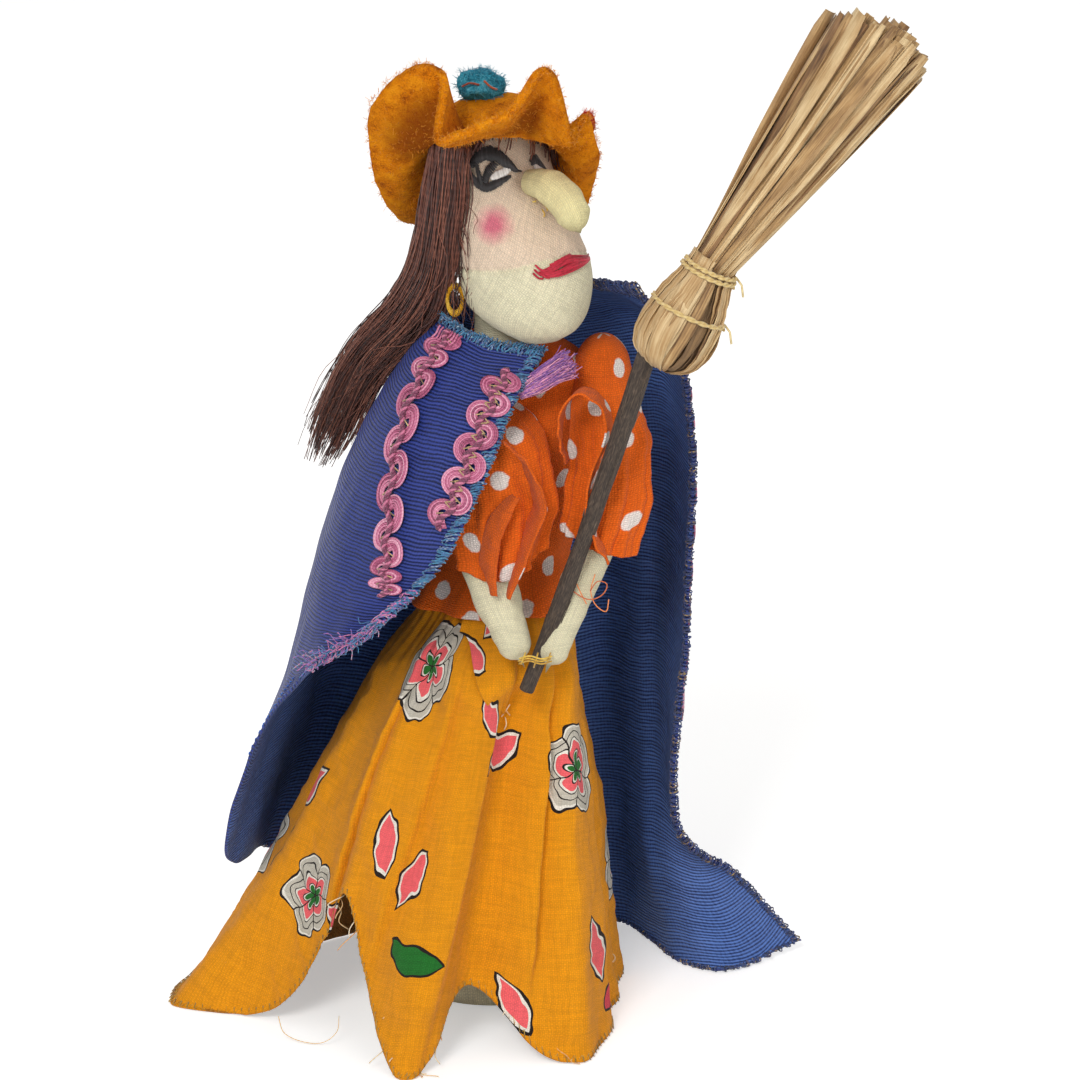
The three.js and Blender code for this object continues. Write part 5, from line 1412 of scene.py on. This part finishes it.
hoopValues = {"place": (-8.6, -10.3, 194.9), "half": (1.9, 3.7), "radius": 0.62, "spun": 2.4}
bm = bmesh.new()
bmesh.ops.create_circle(bm, segments=12, radius=hoopValues["radius"] * mm)
bmesh.ops.rotate(bm, verts=bm.verts, cent=(0, 0, 0), matrix=Matrix.Rotation(math.pi / 2, 3, "X"))
bmesh.ops.translate(bm, verts=bm.verts, vec=(hoopValues["spun"] * mm, 0, 0))
wire = bm.verts[:] + bm.edges[:]
bmesh.ops.spin(bm, geom=wire, cent=(0, 0, 0), axis=(0, 0, 1), angle=2 * math.pi, steps=44, use_merge=True)
bmesh.ops.remove_doubles(bm, verts=bm.verts, dist=1e-6)
hoopMiddle = Vector(hoopValues["place"]) * mm
hoopWide, hoopTall = hoopValues["half"]
for vert in bm.verts:
    vert.co = (hoopMiddle.x + vert.co.x * hoopWide / hoopValues["spun"], hoopMiddle.y - vert.co.z,
               hoopMiddle.z + vert.co.y * hoopTall / hoopValues["spun"])
bmesh.ops.recalc_face_normals(bm, faces=bm.faces)
hoopFelt = feltMaterial("Mustard cloth, rolled and frayed", "#8E5A10", "#C9860E", "#E0A62C", "#F3CC62")
shade = bm.verts.layers.float.new("shade")
for vert in bm.verts:
    vert[shade] = 1.0
hoop = newObject("earHoop", bm, [hoopFelt], "head")
standFor("ear_hoop")

# Broom: a split stick, a bulb of folded husk leaves, and a brush of ragged strips that leans away at the neck

broom = {
    "foot": (9.6, -36, 98.5), "lean": 18.3, "length": 104, "footRadius": 2.0, "topRadius": 2.65, "bow": 0.9,
    "strawLean": 8, "strawStart": (4.2, 0, 93), "bulbLength": 29.5, "bulbHalfWidth": 9.4, "flatness": 0.78,
    "bulbProfile": [0.72, 0.93, 1, 1, 0.96, 0.88, 0.77, 0.67, 0.606],
    "windowBearing": -72, "windowHalf": 0.25,
    "brushLean": 9, "neckHalfWidth": 5.7, "brushLength": 74, "tipHalfWidth": 15, "strips": 150,
}


def leaned(points, degrees):
    points = np.asarray(points, float)
    c, s = math.cos(math.radians(degrees)), math.sin(math.radians(degrees))
    x, y, z = (points[..., k] for k in range(3))
    return np.stack([x * c + z * s, y, -x * s + z * c], axis=-1)


def alongStick(points):
    return leaned(points, broom["lean"]) + broom["foot"]


def inStraw(points):
    return alongStick(leaned(points, broom["strawLean"]) + broom["strawStart"])


def inBrush(points):
    return inStraw(leaned(points, broom["brushLean"]) + [0, 0, broom["bulbLength"] + gap])


def stickWood():
    # split, weathered hazel gives the eye dark grey-brown fibres, pale splinters and a dull surface
    material, tree = newMaterial("Hazel, split and weathered", Roughness=0.82)
    along = addNode(tree, "UVMap", uv_map="UVMap")
    grain = patterned(tree, along, (2.6, 0.1, 1), 1.5, 7, Roughness=0.72)
    fleck = patterned(tree, along, (2.4, 0.5, 1), 1.2, 4)
    both = addNode(tree, "Math", fleck, 0.6, grain, operation="MULTIPLY_ADD")
    share = addNode(tree, "MapRange", both, 0.5, 1.15)
    shades = [(0, "#1A1512"), (0.4, "#3D332C"), (0.72, "#665648"), (1, "#A4907C")]
    linkSurface(tree, addNode(tree, "ValToRGB", share, stops=shades), both, 0.6)
    return material


def huskMaterial(name, dark, middleTone, light):
    # dried corn husk shows papery strips with fine lengthwise veins and brown stains, each in its own shade
    material, tree = newMaterial(name, Roughness=0.6, Sheen_Weight=0.1)
    shade, across, along = (addNode(tree, "Attribute", attribute_name=key, out="Fac")
                            for key in ("shade", "across", "along"))
    far = addNode(tree, "Math", shade, 90, operation="MULTIPLY")
    flat = addNode(tree, "CombineXYZ", across, along, far)
    vein = patterned(tree, flat, (2.6, 0.07, 1), 1.0, 3, Roughness=0.6)
    stain = patterned(tree, flat, (0.35, 0.09, 1), 1.0, 4)
    first = addNode(tree, "Math", vein, 0.9, stain, operation="MULTIPLY_ADD")
    second = addNode(tree, "Math", shade, 0.55, first, operation="MULTIPLY_ADD")
    share = addNode(tree, "MapRange", second, 0.78, 1.65)
    ramp = addNode(tree, "ValToRGB", share, stops=[(0, dark), (0.42, middleTone), (1, light)])
    linkSurface(tree, ramp, vein, 0.3)
    return material


splitHazel = stickWood()
huskPale = huskMaterial("Corn husk, dried, pale", "#5C3C1E", "#AE8958", "#DCC294")
huskBrown = huskMaterial("Corn husk, dried, browned", "#3E2610", "#86613A", "#BC9A6A")
huskInside = huskMaterial("Corn husk, dried, in shade", "#2A1A0E", "#5E4426", "#8E6E46")
huskStraw = threadMaterial("Husk fibres", ["#6B4A2C", "#B9945F", "#DCC092"], roughness=0.7, sheen=0.05)
hazelFibre = threadMaterial("Hazel splinters", ["#2E261F", "#5C4D40", "#7E6C5C"], roughness=0.8, sheen=0.02)
raffia = threadMaterial("Twisted raffia tie", ["#8E7038", "#C9AC6C", "#EAD9A8"], roughness=0.6, twist=1.6)


def makeStick():
    sides, steps = 36, 120
    t, h = np.meshgrid(np.linspace(0, 2 * np.pi, sides + 1), np.linspace(0, broom["length"], steps))
    sector = 2 * np.pi / 7
    facet = np.cos(np.pi / 7) / np.cos(np.mod(t, sector) - sector / 2)
    share = h / broom["length"]
    radius = (broom["footRadius"] + (broom["topRadius"] - broom["footRadius"]) * share) * (0.6 * facet + 0.4)
    grid = np.stack([radius * np.cos(t), radius * np.sin(t), h], axis=2)
    flat = grid.reshape(-1, 3)
    lumps = 0.22 * ripple(flat * [1, 1, 0.1], 1.2) + 0.14 * ripple(flat * [1, 1, 0.05], 0.55, 5.0)
    grid[..., :2] += unit(grid[..., :2]) * lumps.reshape(t.shape)[..., None]
    grid[:, -1] = grid[:, 0]
    grid[..., 0] += (broom["bow"] * np.sin(np.pi * share))
    ends = [np.broadcast_to([0, 0, z], (1, sides + 1, 3)) for z in (0.0, broom["length"])]
    grid = np.concatenate([ends[0], grid, ends[1]])
    stick = surface("broomStick", alongStick(grid), clothUv(grid), [splitHazel], "broom", closed=True)
    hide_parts("broom_stick")
    picks = random.Random(31)
    splinters = []
    for k in range(18):  # fine splinters lifted off the split faces
        start, turn = picks.uniform(2, broom["length"] - 14), picks.uniform(0, 6.28)
        z = start + np.linspace(0, picks.uniform(4, 11), 6)
        radius = broom["footRadius"] + (broom["topRadius"] - broom["footRadius"]) * z / broom["length"]
        radius = radius + 0.05 + 0.28 * np.linspace(0, 1, 6) ** 2 * picks.uniform(0.3, 1.5)
        x = radius * math.cos(turn) + broom["bow"] * np.sin(np.pi * z / broom["length"])
        splinters.append(alongStick(np.stack([x, radius * math.sin(turn), z], axis=1)))
    lifted = threads("stickSplinters", splinters, 0.11, hazelFibre, "broom", sides=1, seed=32)


makeStick()


def bulbHalf(z):
    return broom["bulbHalfWidth"] * smoothValue(broom["bulbProfile"], np.clip(z / broom["bulbLength"], 0, 1))


def ribbonMesh(name, ribbons, materials, body, seed, thickness=0.25):
    # flat strips; each is its middle line, its direction across, its half widths, crown and material
    bm = bmesh.new()
    shade = bm.verts.layers.float.new("shade")
    acrossLayer = bm.verts.layers.float.new("across")
    alongLayer = bm.verts.layers.float.new("along")
    picks = random.Random(seed)
    columns = np.linspace(-1, 1, 5)
    for middles, across, half, crown, material in ribbons:
        own = picks.random()
        across = unit(np.broadcast_to(across, middles.shape))
        along = unit(np.gradient(middles, axis=0))
        lift = unit(np.cross(across, along))
        half = np.broadcast_to(half, len(middles))
        arch = crown * (0.4 - columns ** 2) * half[:, None]
        grid = middles[:, None] + across[:, None] * (half[:, None] * columns)[..., None]
        grid = grid + lift[:, None] * arch[..., None]
        run = runAlong(middles)
        made = bmesh.ops.create_grid(bm, x_segments=4, y_segments=len(middles) - 1, size=1)
        for k, (vert, place) in enumerate(zip(made["verts"], grid.reshape(-1, 3))):
            vert.co = place * mm
            vert[shade], vert[alongLayer] = own, run[k // 5]
            vert[acrossLayer] = half[k // 5] * columns[k % 5]
        for face in {face for vert in made["verts"] for face in vert.link_faces}:
            face.material_index = material
    obj = newObject(name, bm, materials, body)
    solidify = obj.modifiers.new("Husk thickness", "SOLIDIFY")
    solidify.thickness, solidify.offset = thickness * mm, 0
    return obj


def turnedAcross(across, brush=False):
    turned = leaned(across, broom["brushLean"]) if brush else across
    return leaned(leaned(turned, broom["strawLean"]), broom["lean"])


def makeBulb():
    picks = random.Random(21)
    ribbons = []
    window = math.radians(broom["windowBearing"])
    for layer, count, inset, material in ((0, 22, 2.0, 1), (1, 22, 1.0, 0), (2, 17, 0.35, 0),
                                          (3, 9, -0.1, 0)):
        for k in range(count):
            turn = 2 * math.pi * (k + picks.uniform(-0.3, 0.3)) / count + layer * 0.3
            away = math.remainder(turn - window, 2 * math.pi)
            if layer > 0 and abs(away) < broom["windowHalf"] + 0.12 * layer:
                continue
            t = np.linspace(0, 1, 24)
            z = (broom["bulbLength"] + 1.5) * t ** 1.15 + 0.6
            under = 1 - 0.5 * np.exp(-t / 0.05)
            reach = (bulbHalf(z) - inset) * under
            twist = turn + picks.uniform(-0.3, 0.3) * t
            if layer > 1:
                twist = twist + 0.1 * np.sign(away) * np.sin(np.pi * t)
            bend = 0.35 * np.sin(z * picks.uniform(0.15, 0.4) + picks.uniform(0, 6)) * np.sin(np.pi * t)
            c, s = np.cos(twist), np.sin(twist) * broom["flatness"]
            route = np.stack([(reach + bend) * c, (reach + bend) * s, z - 0.8 * (1 - under)], axis=1)
            across = np.stack([-np.sin(twist), broom["flatness"] * np.cos(twist), np.zeros(24)], axis=1)
            up = np.clip(z / broom["bulbLength"], 0, 1)
            half = (1.5 + 1.5 * np.sin(np.pi * up) ** 0.8) * picks.uniform(0.75, 1.2)
            half = half * (0.8 if layer == 3 else 1)
            ribbons.append((inStraw(route), turnedAcross(across), half, -0.16, material))
    bulb = ribbonMesh("broomBulb", ribbons, [huskPale, huskInside], "broom", seed=3)
    standFor("broom_bulb")


makeBulb()


def makeBrush():
    picks = random.Random(8)
    ribbons, fibres = [], []
    golden = math.pi * (3 - math.sqrt(5))
    for k in range(broom["strips"]):
        share = math.sqrt((k + 0.5) / broom["strips"])
        turn = k * golden
        cut = 1 - 0.17 * (0.5 + 0.5 * math.sin(k * 2.4)) - 0.04 * share + 0.05 * picks.random()
        reach = broom["neckHalfWidth"] + (broom["tipHalfWidth"] - broom["neckHalfWidth"]) * min(cut, 1)
        t = np.linspace(0, 1, 16)
        spread = broom["neckHalfWidth"] * 0.92 * (1 - t) + reach * 0.97 * t
        sway = 0.8 * np.sin(3.2 * t + picks.uniform(0, 6)) * t
        x = math.cos(turn) * share * spread + sway
        y = (math.sin(turn) * share * spread + picks.uniform(-0.5, 0.5) * sway) * broom["flatness"]
        z = -2.5 + (broom["brushLength"] * cut + 4) * t
        route = np.stack([x, y, z], axis=1)
        outer = share > 0.62
        flatTurn = turn + math.pi / 2 + picks.uniform(-0.35, 0.35) * (1 if outer else 2.5)
        curl = flatTurn + picks.uniform(-0.5, 0.5) * t
        across = outward(curl)
        wide = picks.choice([1.0, 1.6, 2.3, 3.0] if outer else [0.5, 0.9, 1.3, 1.8])
        half = 0.6 + (wide - 0.6) * smoothstep(t, 0.0, 0.55)
        half = half * np.where(t > 0.97, picks.uniform(0.5, 1.0), 1.0)
        husk = 0 if outer and k % 5 else 1
        ribbons.append((inBrush(route), turnedAcross(across, True), half, picks.uniform(-0.5, 0.5), husk))
        if k % 4 == 1:
            fibres.append(inBrush(route + [picks.uniform(-1.2, 1.2), -0.6, 0.5]))
    brush = ribbonMesh("broomBrush", ribbons, [huskPale, huskBrown], "broom", seed=4)
    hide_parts("broom_brush")
    thin = threads("brushFibres", fibres, 0.16, huskStraw, "broom", sides=1, seed=33)


makeBrush()


def twineRoute(along, turns, shift, out):  # shift sets the ply's place in the twist
    turn = np.linspace(0, 2 * np.pi * turns, int(turns * 70))
    ply = turn * 9 + shift
    z = along + 1.4 * turn / (2 * np.pi) + 0.3 * np.sin(ply)
    straw = 1.03 * bulbHalf(z) + out + 0.3 * np.cos(ply)
    front = (straw * broom["flatness"] + 0.2) * np.sin(turn)
    return inStraw(np.stack([straw * np.cos(turn), front, z], axis=1))


ties = [("lowerTie", "broom_lower_tie", 15.5, 1.0), ("upperTie", "broom_upper_tie", 26.3, 2.0)]
for name, node, along, turns in ties:
    plies = [twineRoute(along, turns, shift, 0.75) for shift in (0, math.pi)]
    ends = [np.array([plies[0][-1], plies[0][-1] + [1.2, -1.0, -1.5], plies[0][-1] + [1.6, -1.4, -4.5]])]
    tie = threads(name, plies + ends, [0.36, 0.36, 0.3], raffia, "broom", sides=2, seed=34)
    standFor(node)
print("broom made")

# Gimp braid: satin cords that loop to both sides of a twisted chain

gimpSatin = threadMaterial("Rose satin gimp cord", ["#762A4C", "#B05378", "#CE7E9C", "#E6AEC0"],
                           roughness=0.38, sheen=0.15, twist=0.9)
gimpChain = threadMaterial("Maroon chain of the gimp", ["#4A1630", "#8C3A5E", "#C8708F"], roughness=0.5,
                           twist=0.7)
tarnishedGold = threadMaterial("Tarnished gold thread", ["#6E5A34", "#A98C5F", "#D8BC84"], roughness=0.4,
                               twist=0.6)
gimp = {
    "outer": {"node": "cape_gimp_outer", "length": 84, "seed": 41,
              "places": [[0.22, 0.025], [0.205, 0.167], [0.17, 0.333], [0.105, 0.492], [0.06, 0.558]]},
    "front": {"node": "cape_gimp_front", "length": 50, "seed": 42,
              "places": [[0.046, 0.083], [0.046, 0.25], [0.042, 0.417]]},
    "left": {"node": "cape_gimp_left", "length": 122, "seed": 43,
             "places": [[0.955, 0.033], [0.955, 0.333], [0.955, 0.583]]},
    "pitch": 9.0, "cordRadius": 0.29, "cords": 6, "cordStep": 0.47, "loopRadius": 3.75,
    "loopTurn": (-38, 218),
}


def onCape(places, length, s, t, lift):  # on the cape's outer face, s mm along a braid and t mm across it
    at, ahead, back = (splineAt(places, s / length + nudge).T for nudge in (0, 0.01, -0.01))
    normal = capeNormal(*at)
    across = unit(np.cross(unit(capePoint(*ahead) - capePoint(*back)), normal))
    lift, t = (np.broadcast_to(x, len(s))[:, None] for x in (lift, t))
    return capePoint(*at) + normal * lift + across * t


def makeGimp(side):
    places, length = gimp[side]["places"], gimp[side]["length"]
    lift = capeFaille / 2 + gap + 0.3
    picks = random.Random(gimp[side]["seed"])
    loops, stitches = [], []
    for k in range(int(length / gimp["pitch"] * 2) - 1):
        hand = 1 if k % 2 else -1
        middle = gimp["pitch"] / 2 * (k + 1) + picks.uniform(-0.25, 0.25)
        for cord in range(gimp["cords"]):
            radius = gimp["loopRadius"] - gimp["cordStep"] * cord
            turn = np.linspace(*np.radians(gimp["loopTurn"]), 26)
            s = np.clip(middle - radius * np.cos(turn), 0.1, length - 0.1)
            t = hand * (0.95 + radius * np.sin(turn) * picks.uniform(0.97, 1.03))
            hump = 0.35 * np.sin(turn.clip(0, math.pi)) + 0.16 * (cord % 2)
            loops.append(onCape(places, length, s, t, lift + hump))
        s = np.array([middle - 0.5, middle, middle + 0.6])
        stitches.append(onCape(places, length, s, np.array([hand * 0.2, hand * 1.2, hand * 2.4]),
                               lift + 0.75))
    if side == "outer":
        for k in range(8):  # the braid's cut end, its cords lying side by side
            s = np.linspace(0.1, 6.5, 8)
            loops.append(onCape(places, length, s, np.full(8, -3.6 + k * 1.0) + 0.2 * np.sin(s + k),
                                lift + 0.7))
    braid = threads(side + "GimpCords", loops, gimp["cordRadius"], gimpSatin, "doll", sides=2, seed=7)
    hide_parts(gimp[side]["node"])
    s = np.linspace(0.5, length - 0.5, int(length * 4))
    wander = 1.0 * np.sin(2 * np.pi * s / gimp["pitch"])
    chain = []
    for phase in (0, 2 * math.pi / 3, 4 * math.pi / 3):
        weave, height = 0.5 * np.sin(2 * np.pi * s / 2.3 + phase), 0.3 * np.cos(2 * np.pi * s / 2.3 + phase)
        chain.append(onCape(places, length, s, weave + wander, lift + 0.85 + height))
    middle = threads(side + "GimpChain", chain, 0.4, gimpChain, "doll", sides=2, seed=8)
    held = threads(side + "GimpStitches", stitches, 0.17, tarnishedGold, "doll", sides=2, seed=9)


for side in ("outer", "front", "left"):
    makeGimp(side)


def zigzag(places, length, first, last, pitch, half, lift):
    count = int((last - first) / pitch)
    s = np.linspace(first, last, count * 6 + 1)
    swing = np.abs(np.mod(s / pitch, 2) - 1) * 2 - 1
    return onCape(places, length, s, swing * half, lift)


zigzags = [zigzag(gimp["front"]["places"], 50, 6, 44, 1.5, 1.6, capeFaille / 2 + gap + 1.3),
           zigzag(gimp["front"]["places"], 50, 6.6, 43, 1.5, 1.3, capeFaille / 2 + gap + 1.35)]
gold = threads("frontGoldZigzag", zigzags, [0.16, 0.14], tarnishedGold, "doll", sides=2, seed=44)

# Frayed tassel of pink and violet threads at the collar

frayMix = threadMaterial("Frayed pink and violet threads", ["#5A4494", "#9A62A8", "#D488AE", "#F0B4C6"],
                         roughness=0.5, sheen=0.1)
tassel = {
    "line": [[7.5, -23, 174], [12.5, -22.6, 177], [19, -20.5, 180.5], [21, -20, 181.5]],
    "radius": 3.4, "threads": 330,
}


def makeTassel():
    picks = random.Random(2)
    routes = []
    for k in range(tassel["threads"]):
        angle, reach = picks.uniform(0, 6.28), math.sqrt(picks.random())
        start, end = picks.choice([0, 0, 0.3]), picks.uniform(0.7, 1.0)
        share = np.linspace(start, end, 10)
        radius = tassel["radius"] * smoothValue([0.5, 0.85, 1, 1], share)
        side = np.array([0.45, 0.15, -0.88])
        offset = (reach * math.cos(angle) * radius)[:, None] * side
        offset += (reach * math.sin(angle) * radius * 0.62)[:, None] * np.array([0.0, 1.0, 0.2])
        wild = 2.6 if picks.random() < 0.2 else 0.9
        offset += np.array([picks.uniform(-1, 1) for _ in range(3)]) * (share[:, None] ** 2) * wild
        offset += 0.3 * np.sin(share * picks.uniform(8, 20) + k)[:, None] * side
        routes.append(splineAt(tassel["line"], share) + offset)
    made = threads("collarTassel", routes, 0.13, frayMix, "doll", sides=1, seed=9)
    standFor("cape_tassel")


makeTassel()

# Stitches that join the hands

handLine = [[7.4, -41.3, 108.5], [10, -41.7, 109.4], [13.2, -41.7, 108.6], [15.8, -41.3, 109.2]]
handLine = splineAt(handLine, np.linspace(0, 1, 20))
crossings = [np.array([[x, -41.2, 107.2 + 0.5 * math.sin(x)], [x + 0.5, -42.1, 109 + 0.3 * math.sin(x)],
                       [x + 1.1, -41.2, 110.8]])
             for x in (8.2, 11.4, 14.6)]
handStitches = [handLine, handLine + [0.3, -0.1, 0.7], handLine + [0.2, 0, -0.7]]
handStitches += [evenSpline(line, 8) for line in crossings]
stitches = threads("handStitches", handStitches, 0.22, yellowCotton, "arms", sides=2, seed=45)
standFor("hand_stitches")

# The neck's dowel keeps its own shape and gets turned birch's fine grain and satin surface

dowelWood, tree = newMaterial("Birch, turned", Roughness=0.55)
grain = patterned(tree, addNode(tree, "TexCoord", out="Object"), (1400, 1400, 60), 1.0, 4)
linkSurface(tree, addNode(tree, "Mix", grain, "#B8935E", "#DCC09A", data_type="RGBA"), grain, 0.05, 0.4)
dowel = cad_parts["neck_dowel"]
dowel.data.materials.clear()
dowel.data.materials.append(dowelWood)
print("trims made")
